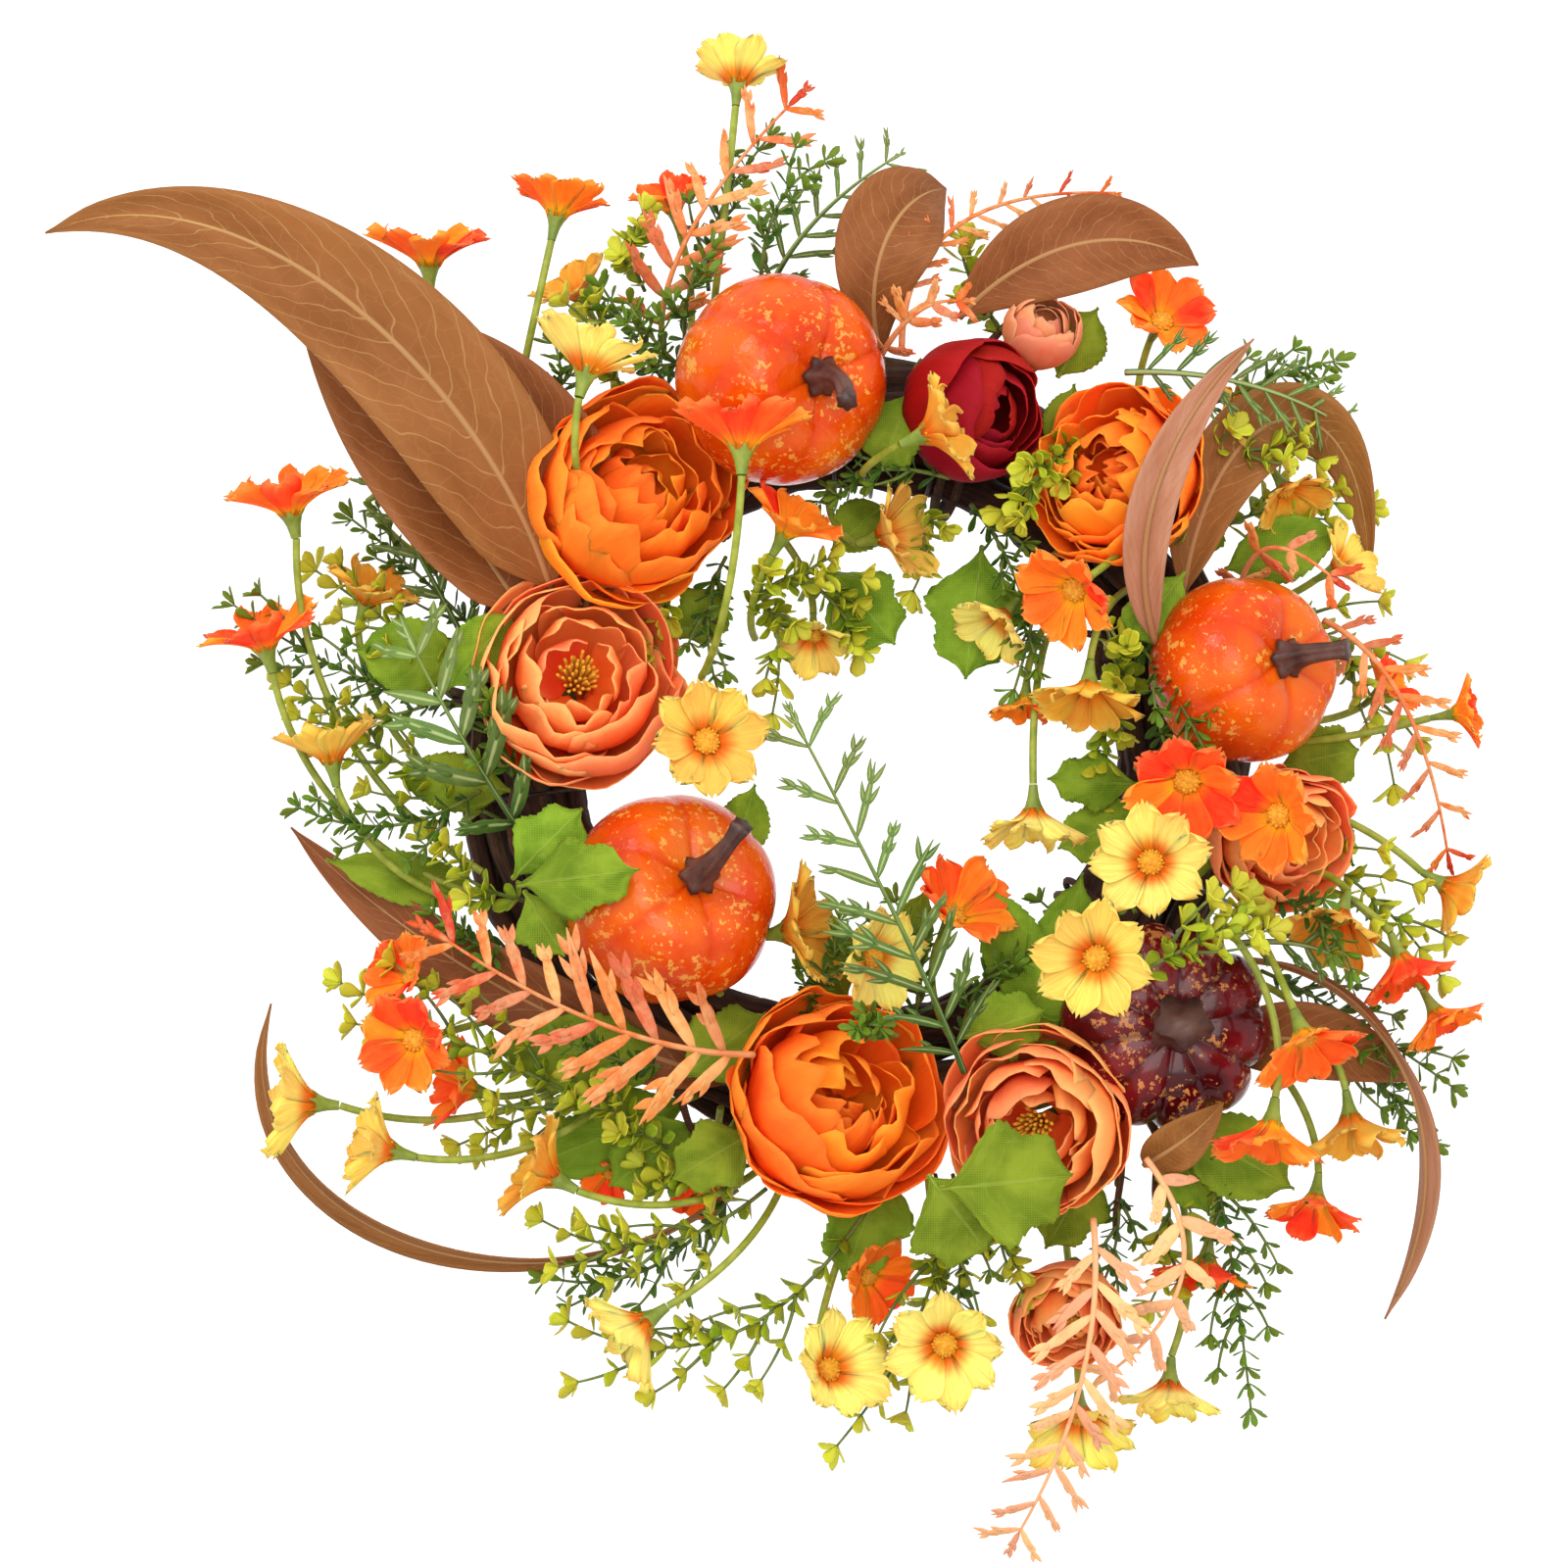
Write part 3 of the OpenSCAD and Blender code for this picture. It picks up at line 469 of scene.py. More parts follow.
def leaf_lines(s, out, pairs, slope, sharp):
    """Side veins that leave the midrib in pairs, and the midrib, each 0 to 1."""
    t = s.math("SUBTRACT", s.times(s.v, pairs), s.times(s.math("POWER", out, 1.35), slope))
    t = s.math("ADD", t, s.times(s.noise(s.scaled(3.0, 9.0, 19.0), 1.0, 2.0), 1.7))
    saw = s.math("ABSOLUTE", s.math("SUBTRACT", s.math("FRACT", t), 0.5))
    return s.span(saw, 0.5 - sharp, 0.5), s.span(out, 0.015, 0.055, 1.0, 0.0)


def bronze_cloth(name, body, deep, light, cream):
    """Printed satin leaf: a fine midrib and a net of side veins on bronze."""
    s = Shader(name, rough=0.55, specular=0.16)
    out = s.out()
    line, rib = leaf_lines(s, out, 17.0, 3.0, 0.06)
    net = s.cells(s.vector(s.times(out, 4.0), s.times(s.v, 30.0), s.each), 1.0,
                  "DISTANCE_TO_EDGE")
    net = s.span(net, 0.01, 0.04, 0.1, 0.0)
    wash = s.noise(s.scaled(3.0, 5.0, 31.0), 1.0, 4.0)
    colour = s.mix(s.span(wash, 0.3, 0.72), body, deep)
    colour = s.mix(s.span(out, 0.7, 1.0, 0.0, 0.4), colour, light)
    veins = s.math("MAXIMUM", s.times(line, 0.6), s.math("MAXIMUM", rib, net))
    colour = s.shift(s.mix(s.times(veins, 0.75), colour, cream), 0.008, 0.08)
    s.bump(veins, 0.0004, 0.5)
    s.bump(s.noise(s.scaled(40.0, 90.0, 13.0), 1.0, 2.0), 0.0001, 0.5)
    s.done(colour, s.span(wash, 0.2, 0.8, 0.48, 0.66))


def green_cloth(name, dark, light, vein):
    """Woven green leaf with ribs pressed into it."""
    s = Shader(name, rough=0.75, specular=0.08, subsurface=0.15)
    line, rib = leaf_lines(s, s.out(), 6.0, 1.5, 0.12)
    colour = s.mix(s.span(s.noise(s.scaled(2.0, 2.5, 41.0), 1.0), 0.3, 0.7), dark, light)
    veins = s.math("MAXIMUM", s.times(line, 0.35), rib)
    colour = s.mix(s.times(veins, 0.35), colour, vein)
    thread = s.weave(0.0016)
    colour = s.mix(s.span(thread, 0.45, 0.95, 0.0, 0.3), colour, vein)
    s.bump(veins, 0.0004, 0.4)
    s.bump(thread, 0.00012, 0.9)
    s.done(s.shift(colour, 0.014, 0.14))


def spray_plastic(name, stops, gloss=0.42, speck=None, pale=None):
    """Moulded leaflets: colour runs from the spray's root to its end, mottled."""
    s = Shader(name, rough=gloss, specular=0.2, subsurface=0.2)
    mottle = s.noise(s.position, 130.0, 4.0, 0.65)
    ramp = s.add("ValToRGB", {0: s.stray(s.v, mottle, 1.1)})
    elements = ramp.color_ramp.elements
    elements[0].color, elements[1].color = stops[0], stops[-1]
    for k in range(1, len(stops) - 1):
        elements.new(k / (len(stops) - 1)).color = stops[k]
    colour = ramp.outputs[0]
    if speck is not None:
        band = s.math("ADD", s.out(), s.times(mottle, 0.2))
        colour = s.mix(s.span(band, 0.18, 0.42, 0.7, 0.0), colour, speck)
    if pale is not None:
        colour = s.mix(s.span(s.stray(s.whole, mottle, 0.9), 0.5, 0.95, 0.0, 0.8), colour, pale)
    s.bump(s.noise(s.scaled(9.0, 3.0, 29.0), 1.0), 0.0005, 0.5)
    s.done(s.shift(colour, 0.012, 0.12), s.span(mottle, 0.2, 0.8, gloss - 0.1, gloss + 0.15))


def pumpkin_skin(name, body, deep, light, speck, cover, lump, coat):
    """Lacquered foam: washed colour with pale specks that gather in clouds, dented, with painted
    shade darkening its grooves.
    """
    s = Shader(name, rough=0.3, specular=0.16, coat=coat, subsurface=0.05)
    wash = s.noise(s.position, 42.0, 4.0, 0.6, 0.4)
    colour = s.mix(s.span(wash, 0.32, 0.68), body, deep)
    colour = s.mix(s.span(s.noise(s.position, 19.0, 2.0), 0.45, 0.75, 0.0, 0.6), colour, light)
    cloud = s.noise(s.position, 60.0, 3.0, 0.6)
    specks = s.math("ADD", s.noise(s.position, 330.0, 3.0, 0.7), s.times(cloud, 0.6))
    drops = s.span(s.cells(s.position, 230.0), 0.09, 0.2, 0.85, 0.0)
    specks = s.math("MAXIMUM", s.span(specks, cover, cover + 0.05),
                    s.times(drops, s.span(cloud, 0.4, 0.56)))
    colour = s.mix(s.times(specks, 0.75), colour, speck)
    # painted shade: the deep colour is laid into the grooves, where the mark's red (the ridge) is
    # low
    colour = s.mix(s.span(s.u, 0.0, 0.9, 0.75, 0.0), colour, deep)
    s.bump(wash, lump, 0.9)
    s.bump(s.noise(s.position, 160.0, 4.0, 0.65), 0.4 * lump, 0.8)
    s.done(colour, s.span(specks, 0.0, 1.0, 0.16, 0.42))


def bark(name, dark, light, tip=None):
    """Streaked, grained vine. tip: the colour towards its end."""
    s = Shader(name, rough=0.82, specular=0.2)
    grain = s.noise(s.scaled(9.0, 60.0, 23.0), 1.0, 5.0, 0.65)
    streak = s.noise(s.scaled(30.0, 9.0, 11.0), 1.0)
    colour = s.mix(s.span(grain, 0.3, 0.72), dark, light)
    colour = s.mix(s.span(streak, 0.5, 0.8, 0.0, 0.5), colour, dark)
    if tip is not None:
        colour = s.mix(s.span(s.v, 0.5, 1.0, 0.0, 0.6), colour, tip)
    s.bump(streak, 0.0012, 0.9)
    s.bump(grain, 0.0006, 0.8)
    s.done(s.shift(colour, 0.015, 0.2), s.span(grain, 0.2, 0.8, 0.7, 0.92))


def plain_mould(name, dark, light, rough=0.5, scale=160.0):
    """Moulded plastic or foam with a faint mottled colour and a grained surface."""
    s = Shader(name, rough=rough, specular=0.4, subsurface=0.05)
    wash = s.noise(s.position, scale, 4.0, 0.6)
    s.bump(s.noise(s.position, scale * 4), 0.0003, 0.6)
    s.done(s.mix(s.span(wash, 0.3, 0.7), dark, light),
           s.span(wash, 0.2, 0.8, rough - 0.08, rough + 0.12))


def wire_metal(name, dark, light):
    s = Shader(name, rough=0.45, specular=0.5)
    s.fill(s.sockets, {"Metallic": 0.7})
    wear = s.noise(s.position, 300.0, 5.0, 0.7)
    s.bump(s.noise(s.position, 900.0, 2.0), 0.00012, 0.5)
    s.done(s.mix(s.span(wear, 0.35, 0.75), dark, light), s.span(wear, 0.2, 0.8, 0.34, 0.6))


bark("bark", srgb(48, 30, 24), srgb(104, 72, 54))
bark("twig", srgb(70, 40, 34), srgb(122, 84, 60), srgb(140, 70, 60))
bark("wrap_vine", srgb(60, 38, 28), srgb(128, 92, 66))
wire_metal("wire", srgb(62, 58, 52), srgb(112, 102, 90))
plain_mould("stem", srgb(140, 156, 30), srgb(182, 190, 70), 0.48)
plain_mould("stem_dark", srgb(84, 108, 34), srgb(128, 144, 50))
plain_mould("calyx", srgb(116, 140, 36), srgb(158, 172, 62))
plain_mould("stalk", srgb(62, 34, 30), srgb(112, 74, 62), 0.42, 90.0)
plain_mould("stamen", srgb(244, 150, 20), srgb(255, 196, 50), 0.7, 500.0)
# the deep colour of each skin is a random wash tone and also painted shade in its grooves
pumpkin_skin("foam_orange", srgb(252, 104, 12), srgb(232, 62, 4), srgb(255, 132, 24),
             srgb(255, 190, 84), 0.9, 0.002, 0.1)
pumpkin_skin("foam_burgundy", srgb(128, 18, 26), srgb(58, 2, 10), srgb(160, 36, 40),
             srgb(240, 160, 84), 0.88, 0.0004, 0.2)
petal_cloth("daisy_orange", silk(255, 140, 24), silk(255, 104, 34), silk(255, 134, 62),
            silk(246, 80, 18), hue=0.014)
petal_cloth("daisy_yellow", srgb(250, 120, 16), srgb(255, 184, 66), srgb(255, 216, 104),
            srgb(252, 160, 48), 0.32, pale=srgb(255, 240, 128, 0.86))
petal_cloth("silk_orange", silk(252, 92, 6), silk(255, 120, 26), silk(255, 140, 46),
            silk(255, 92, 14), 0.5)
petal_cloth("silk_salmon", silk(246, 96, 36), silk(255, 138, 76), silk(255, 164, 104),
            silk(248, 108, 50), 0.5)
petal_cloth("silk_burgundy", srgb(104, 2, 10), srgb(172, 12, 22), srgb(190, 34, 44),
            srgb(140, 4, 14), 0.5, hue=0.004)
petal_cloth("silk_peach", srgb(250, 140, 60), srgb(255, 150, 104), srgb(255, 178, 138),
            srgb(252, 124, 80), 0.5)
bronze_cloth("bronze_leaf", srgb(160, 96, 46), srgb(138, 78, 32), srgb(178, 114, 62),
             srgb(210, 164, 104))
bronze_cloth("bronze_under", srgb(206, 148, 112), srgb(186, 122, 84), srgb(220, 166, 132),
             srgb(190, 142, 88))
green_cloth("green_leaf", srgb(104, 136, 24), srgb(150, 178, 46), srgb(180, 200, 84))
spray_plastic("fern", [srgb(236, 140, 84), srgb(250, 170, 110), srgb(242, 124, 60),
                       srgb(252, 176, 116), srgb(240, 100, 36)], pale=srgb(252, 190, 138, 0.86))
spray_plastic("cutleaf", [srgb(60, 92, 34), srgb(96, 126, 50), srgb(128, 152, 72)], 0.4,
              speck=srgb(196, 206, 136))
spray_plastic("box_dark", [srgb(54, 96, 24), srgb(84, 126, 32), srgb(112, 146, 34)])
spray_plastic("box_light", [srgb(130, 160, 28), srgb(188, 202, 38), srgb(222, 220, 60)])

# ---------- flowers


def xyz(x, y, z):
    """Rows x columns x 3 from three arrays that broadcast together."""
    return np.stack(np.broadcast_arrays(x, y, z), -1).astype(float)


def ring(out, angle, up):
    """A grid in round coordinates."""
    return xyz(out * np.cos(angle), out * np.sin(angle), up)


def spiral(k, count, spread):
    """Floret k of a spiral: its share of the way out, and its direction."""
    f = (k + 0.5) / count
    lean = spread * math.sqrt(f)
    return f, ring(math.sin(lean), k * GOLDEN, math.cos(lean))


def sheet(base, *moves):
    """A grid of points: base moved along each direction by its amount."""
    for way, amount in moves:
        base = base + way * amount[..., None]
    return base


def place(build, local, at, turn, mark):
    """Adds a grid given in a flower's own frame."""
    build.grid(at + local @ turn.T, mark)


EIGHT_PETALS = 0.0165    # a daisy of a larger radius has eight petals, and others seven
PALE_BELOW = -0.17       # the lowest heads are the palest
KNOBS = 38               # pollen knobs of a daisy
STAMENS = 44             # stamens of a peony


def daisy(petals, calyx, stamens, at, axis, r, rng):
    """A cosmos-like daisy: at is the calyx's top, axis the way it faces, r its radius."""
    turn = basis(axis, rng.uniform(0, TAU))
    count = 8 if r > EIGHT_PETALS else 7
    whole = rng.uniform(0.75, 1.0) if at[2] < PALE_BELOW else rng.uniform(0.0, 0.85)
    open_up = rng.uniform(0.46, 0.66)
    u, v = plane(11, 13)
    outline = np.interp(v, [0, 0.15, 0.4, 0.62, 0.78, 0.9, 1.0],
                        [0.3, 0.44, 0.72, 0.93, 1.0, 0.86, 0.4])
    for k in range(count):
        phi = TAU * (k + rng.uniform(-0.13, 0.13)) / count
        long = r * rng.uniform(0.92, 1.05)
        teeth = 0.055 * np.cos(3 * math.pi * u + rng.uniform(-0.5, 0.5))
        out = 0.15 * r + (long * (1 - 0.1 * u ** 2 + teeth) - 0.15 * r) * v
        side = (2.62 / count) * r * rng.uniform(0.92, 1.06) * outline * u
        droop, fold = rng.uniform(-0.08, 0.14), rng.uniform(-0.03, 0.14)
        rise = r * (open_up * v ** 0.7 - droop * v ** 3)
        rise = rise + r * v * (0.02 * np.cos(2 * TAU * u) + fold * u ** 2 + 0.06 * u)
        rise = rise + r * rng.uniform(-0.06, 0.06) * u * v ** 2
        c, s = math.cos(phi), math.sin(phi)
        place(petals, xyz(out * c - side * s, out * s + side * c, rise), at, turn,
              ((u + 1) / 2, v, rng.random(), whole))
    # calyx: a flared cone with five sepals
    a = circle(15)
    h = np.array([-8, -6, -3.5, -1.2, 0.4, 1.4])[:, None] * MM
    cone = np.array([1.5, 1.7, 2.1, 2.8, 3.4, 3.6])[:, None] / 3.4 * r * 0.185
    cone = cone * (1 + 0.3 * smooth(h, -2 * MM, 1.4 * MM) * np.cos(5 * a))
    lift = 0.0012 * smooth(h, -MM, 1.4 * MM) * np.cos(5 * a)
    local = ring(cone, a, h + lift)
    calyx.grid(at + local @ turn.T, (a / TAU, smooth(h, -8 * MM, 2 * MM), 0.5, whole), wrap=True)
    # pollen: a dome set with small knobs
    dome = 0.21 * r
    base = at + axis * 0.08 * r
    lat = np.linspace(0, math.pi / 2 - 0.05, 6)[:, None]
    local = ring(dome * np.cos(lat), a, 0.75 * dome * np.sin(lat))
    k = stamens.grid(base + local @ turn.T, (a / TAU, lat / 1.6, 0.5, whole), wrap=True)
    stamens.cap(k[-1])
    for k in range(KNOBS):
        f, d = spiral(k, KNOBS, 1.5)
        d = turn @ (d * (1, 1, 0.75))
        foot = base + d * dome * 0.9
        head = base + d * dome * rng.uniform(1.06, 1.2)
        stamens.tube([foot, (foot + head) / 2, head], dome * 0.14 * np.array([1, 1, 0.6]), 5,
                     (None, None, f, whole))


def cup_petal(build, at, turn, phi, spec, rng, whole):
    """One petal of a bloom on a sphere-like cup. spec: cup radius, opening angle, half width,
    flare, ruffle."""
    cup, opening, wide, flare, ruffle = spec
    skew, fold = rng.uniform(-0.3, 0.3), rng.uniform(-1.2, 1.2) * ruffle
    u, v = plane(15, 14)
    fringe = 0.9 * ruffle * np.cos(TAU * rng.uniform(0.8, 1.6) * u + rng.uniform(0, 6))
    fringe = fringe + 0.5 * ruffle * np.abs(np.sin(rng.uniform(5, 8) * u + rng.uniform(0, 6)))
    tip = 1 - 0.2 * np.abs(u) ** 2.4 - fringe
    low = math.radians(20)
    polar = low + (math.radians(opening) - low) * v * tip
    spread = wide * (0.36 + 0.64 * np.sin(math.pi * np.clip(0.1 + 0.6 * v, 0, 1)))
    angle = phi + (u + skew * v ** 2) * spread / np.maximum(np.sin(polar), 0.55) ** 0.6
    wave = ruffle * smooth(v, 0.45, 1.0) * (
        np.sin(u * rng.uniform(3.0, 5.5) + rng.uniform(0, TAU))
        + 0.5 * np.sin(u * rng.uniform(7, 11) + rng.uniform(0, TAU)))
    crease = 0.016 * np.sin(u * rng.uniform(7, 12) + rng.uniform(0, 6)) * (1 - 0.5 * v)
    turned = flare * smooth(v, 0.62, 1.0)
    out = 1 + wave + crease + 0.03 * rng.uniform(-1, 1) + flare * smooth(v, 0.62, 1.0) ** 1.4
    out = out + 0.05 * (1 - np.abs(u)) * smooth(v, 0.1, 0.6) - 0.04 * u ** 2
    out = out + fold * u * smooth(v, 0.4, 1.0)
    local = ring(cup * out * np.sin(polar), angle, -cup * (out - 0.5 * turned) * np.cos(polar))
    place(build, local, at, turn, ((u + 1) / 2, v, rng.random(), whole))


# cup radius / r, opening in degrees, petals, half width, flare, ruffle
LAYERS = {
    "ranunculus": [(0.28, 158, 3, 0.9, 0.0, 0.06), (0.43, 152, 4, 0.85, 0.02, 0.08),
                   (0.57, 146, 4, 0.95, 0.04, 0.07), (0.70, 138, 4, 0.95, 0.06, 0.06),
                   (0.82, 128, 4, 1.0, 0.08, 0.055), (0.90, 114, 5, 0.92, 0.1, 0.05),
                   (0.95, 98, 5, 0.9, 0.1, 0.045)],
    "peony": [(0.40, 142, 3, 1.0, 0.03, 0.08), (0.56, 136, 4, 0.95, 0.05, 0.07),
              (0.70, 130, 4, 1.0, 0.06, 0.06), (0.82, 121, 4, 1.05, 0.08, 0.05),
              (0.90, 108, 4, 1.1, 0.08, 0.04), (0.95, 92, 5, 0.95, 0.08, 0.04)],
    "bud": [(0.55, 162, 3, 1.0, 0.0, 0.02), (0.70, 156, 3, 1.05, 0.0, 0.025),
            (0.82, 148, 3, 1.05, 0.0, 0.02), (0.91, 138, 4, 0.95, 0.0, 0.02),
            (0.97, 122, 4, 0.9, 0.02, 0.02)],
}


def bloom(build, at, axis, r, kind, rng):
    """Layers of cupped petals, each of which leans a little its own way."""
    whole = rng.random()
    for cup, opening, count, wide, flare, ruffle in LAYERS[kind]:
        start = rng.uniform(0, TAU)
        turn = basis(axis + 0.26 * rng.standard_normal(3) * (1.2 - cup), start)
        for k in range(count):
            spec = (cup * r * rng.uniform(0.93, 1.04), opening + rng.uniform(-16, 10),
                    wide * rng.uniform(0.85, 1.2), flare * rng.uniform(0.2, 1.4),
                    ruffle * rng.uniform(0.7, 1.4))
            phi = TAU * (k + rng.uniform(-0.13, 0.13)) / count
            cup_petal(build, at, turn, phi, spec, rng, whole)


def sepals(build, at, axis, r, rng):
    """Five pointed green sepals that hug the back of a bloom."""
    turn = basis(axis, rng.uniform(0, TAU))
    u, v = plane(5, 8)
    polar = math.radians(6) + math.radians(38) * v
    cup = r * (1.04 + 0.02 * v)
    for k in range(5):
        angle = TAU * k / 5 + u * 0.5 * np.sin(math.pi * (0.22 + 0.76 * v)) / (0.6 + v)
        local = ring(cup * np.sin(polar), angle, -cup * np.cos(polar))
        place(build, local, at, turn, ((u + 1) / 2, v, rng.random(), 0.5))
    path = at - axis[None] * np.array([1.0, 1.05, 1.1, 1.14])[:, None] * r
    build.tube(path, np.array([0.12, 0.11, 0.08, 0.05]) * r, 10)


# ---------- leaves


def bronze(build, rows, rng, rib_side=-1, twist=(0, 0), lift=0.0):
    """A long pointed leaf along a blade's rows, with a keeled, gently waved face.
    twist: degrees that it is turned further about its length, at its base and its tip.
    lift: how far it stands forward of the blade, along its face."""
    n = 44
    c, s, f, w = (resample(row, n) for row in rows)
    s, f, w = unit_rows(s), unit_rows(f), np.maximum(w, 0.0006)
    c = c + lift * f
    u, v = plane(11, n)
    angle = np.radians(np.linspace(*twist, n))[:, None]
    s, f = s * np.cos(angle) + f * np.sin(angle), f * np.cos(angle) - s * np.sin(angle)
    half = w[:, None] / 2
    keel = 0.24 * half * np.abs(u) ** 1.3 - 0.1 * half
    wave = 0.05 * half * np.abs(u) ** 2 * np.sin(10 * v + rng.uniform(0, TAU) + 1.5 * np.sign(u))
    p = sheet(c[:, None], (s[:, None], half * u), (f[:, None], keel + wave))
    build.grid(p, ((u + 1) / 2, v, rng.random(), 0.5))
    # midrib: a raised cord, on the back of the leaf unless rib_side is 1
    rib = c + f * (rib_side * 0.0004 - 0.05 * w[:, None])
    build.tube(rib[:-2], np.linspace(0.0011, 0.0003, n - 2), 6, (0.5, None, 0.2, 0.5))


def green(build, rows, rng):
    """A leaf with two side lobes and a long middle one, toothed and lightly pleated."""
    n = 73
    c, s, f, _ = (resample(row, n) for row in rows)
    s, f = unit_rows(s), unit_rows(f)
    top = rows[3].max()
    u, v = plane(11, n)
    if rng.random() < 0.5:
        outline = np.exp(-((v - 0.36) / 0.2) ** 2) + 0.7 * np.exp(-((v - 0.72) / 0.22) ** 2)
    else:
        outline = 0.92 * np.sin(math.pi * v ** 0.8)
    outline = outline * np.minimum(1, v * 7 + 0.08) * np.minimum(1, (1 - v) * 5 + 0.03)
    half = np.maximum(top * 0.58 * outline, 0.0004)
    reach = 1 - 0.08 * ((v * 14) % 1.0) * smooth(np.abs(u), 0.6, 1.0)
    pleat = 0.014 * top * np.cos(TAU * (6 * v - 1.5 * np.abs(u) ** 1.35)) * np.abs(u)
    cup = (rng.uniform(0.0, 0.3) * np.abs(u) + rng.uniform(-0.2, 0.1) * u ** 2) * half
    wave = 0.03 * top * np.sin(7 * v + rng.uniform(0, 6) + 1.5 * np.sign(u)) * u ** 2
    p = sheet(c[:, None], (s[:, None], half * u * reach), (f[:, None], pleat + cup + wave),
              (tangents(c)[:, None], 0.2 * half * np.abs(u) ** 1.6))
    build.grid(p, ((u + 1) / 2, v, rng.random(), 0.5))
    build.tube((c - f * 0.0005)[:-2], np.linspace(0.0008, 0.0003, n - 2), 6,
               (0.5, None, 0.3, 0.5))


def leaflet(build, root, along, out, long, wide, lobes, curl, v_mark, rng, whole):
    """A pointed leaflet with pairs of pointed prongs. out is the side that it bends to."""
    up = unit(np.cross(along, out))
    each = rng.random()
    u, v = plane(3, 8)

    def blade(foot, way, reach, broad, bend):
        side = unit(np.cross(up, way))
        half = broad / 2 * np.maximum(np.sin(math.pi * (0.08 + 0.9 * v ** 0.8)), 0.06)
        p = sheet(foot, (way, reach * v), (side, half * u),
                  (up, 0.4 * half * np.abs(u) + curl * reach * v ** 2),
                  (side, bend * reach * v ** 2))
        build.grid(p, ((u + 1) / 2, v_mark + (1 - v_mark) * 0.45 * v, each, whole))
        return lambda t: foot + way * reach * t + (up * curl + side * bend) * reach * t * t

    spine = blade(root, along, long, wide, rng.uniform(-0.1, 0.1))
    for k in range(lobes):
        t = 0.42 + 0.28 * k / max(1, lobes - 1)
        for hand in (-1, 1):
            if rng.random() < 0.8:
                way = unit(along + out * hand * rng.uniform(0.4, 0.7))
                blade(spine(t), way, long * rng.uniform(0.22, 0.36), wide * 0.7, -0.15 * hand)


def spray(leaves, stems, rows, lobes, wide, rng, lean):
    """Pairs of leaflets on a stem along a toothed blade's rows."""
    pairs = (len(rows[0]) - 3) // 2
    n = 48
    path, sides, faces, _ = (resample(row, n) for row in rows)
    d = tangents(path)
    whole = 0.9 if path[-1, 2] < -0.15 else 0.2
    stems.tube(path, np.linspace(0.0012, 0.0005, n), 7, (None, None, 0.5, whole))
    top = rows[3].max()
    broad = wide * (1.7 if pairs < 6 else 1.0)
    for k in range(pairs + 1):
        t = 0.1 + 0.88 * k / pairs
        long = 0.7 * top * (1 - 0.42 * t) * (0.65 + 0.35 * min(1, t * 4))
        for hand in (-1, 1):
            i = min(int(t * (n - 1)) + (hand > 0), n - 2)
            along = unit(d[i] * (lean + rng.uniform(-0.12, 0.12)) + sides[i] * hand
                         + faces[i] * rng.uniform(-0.15, 0.3))
            out = unit(np.cross(faces[i], along))
            scale = rng.uniform(0.8, 1.15)
            leaflet(leaves, path[i], along, out, long * scale, long * broad, lobes,
                    rng.uniform(-0.2, 0.25), t, rng, whole)
    end = unit(d[-1])
    leaflet(leaves, path[-1] - end * MM, end, unit(sides[-1]), 0.34 * top, 0.34 * top * broad,
            lobes, 0.1, 1.0, rng, whole)


def spoon(build, root, along, up, long, wide, v_mark, rng, whole):
    """A small leaflet, rounded at its end."""
    u, v = plane(5, 7)
    side = unit(np.cross(along, up))
    half = wide / 2 * np.interp(v, [0, 0.25, 0.6, 0.85, 1], [0.16, 0.5, 1.0, 0.8, 0.12])
    p = sheet(root, (along, long * v), (side, half * u),
              (up, 0.3 * half * np.abs(u) + rng.uniform(-0.1, 0.25) * long * v ** 2))
    build.grid(p, ((u + 1) / 2, v_mark, rng.random(), whole))


def length_of(path):
    return np.linalg.norm(np.diff(path, axis=0), axis=1).sum()


def twig(leaves, stems, path, sides, faces, rng, long, wide, pitch, whole):
    """Leaflets in pairs and fours along one twig, with a rosette at its end."""
    n = len(path)
    d = tangents(path)
    stems.tube(path, np.linspace(0.0008, 0.00045, n), 6, (None, None, 0.5, whole))
    whorls = max(3, int(length_of(path) / pitch))
    twist = rng.uniform(0, TAU)
    for k in range(whorls):
        t = 0.1 + 0.9 * k / (whorls - 1)
        i = min(int(t * (n - 1)), n - 1)
        last = k == whorls - 1
        around = 6 if last else int(rng.choice([3, 4, 4]))
        twist += rng.uniform(0.5, 1.1)
        for j in range(around):
            a = twist + TAU * j / around
            s = unit(sides[i] * math.cos(a) + faces[i] * math.sin(a))
            along = unit(s + d[i] * (rng.uniform(0.3, 1.4) if last else rng.uniform(0.35, 0.9)))
            up = unit(d[i] - along * (d[i] @ along))
            size = rng.uniform(0.75, 1.2)
            spoon(leaves, path[i] + s * long * 0.1, along, up, long * size, wide * size,
                  0.1 + 0.9 * t, rng, whole)


def sprig(leaves, stems, rows, rng, long, wide, pitch):
    """A main twig along the blade's rows, and side twigs that leave it by turns."""
    n, m = 40, 14
    path, sides, faces, _ = (resample(row, n) for row in rows)
    d = tangents(path)
    whole = rng.random()
    twig(leaves, stems, path, sides, faces, rng, long, wide, pitch, whole)
    length = length_of(path)
    arms = max(2, int(length / 0.016))
    f = np.linspace(0, 1, m)[:, None]
    for k in range(arms):
        t = 0.22 + 0.62 * k / arms + rng.uniform(-0.04, 0.04)
        i = int(t * (n - 1))
        s = unit(sides[i] * (1 if k % 2 else -1) + faces[i] * rng.uniform(-0.1, 0.7))
        reach = length * rng.uniform(0.22, 0.34) * (1.1 - 0.5 * t)
        arm = path[i] + (d[i] * 0.75 + s * 0.65) * reach * f + (d[i] - s) * 0.18 * reach * f ** 2
        twig(leaves, stems, arm, np.tile(sides[i], (m, 1)), np.tile(faces[i], (m, 1)), rng,
             long * 0.9, wide * 0.9, pitch, whole)


# ---------- pumpkins and vines


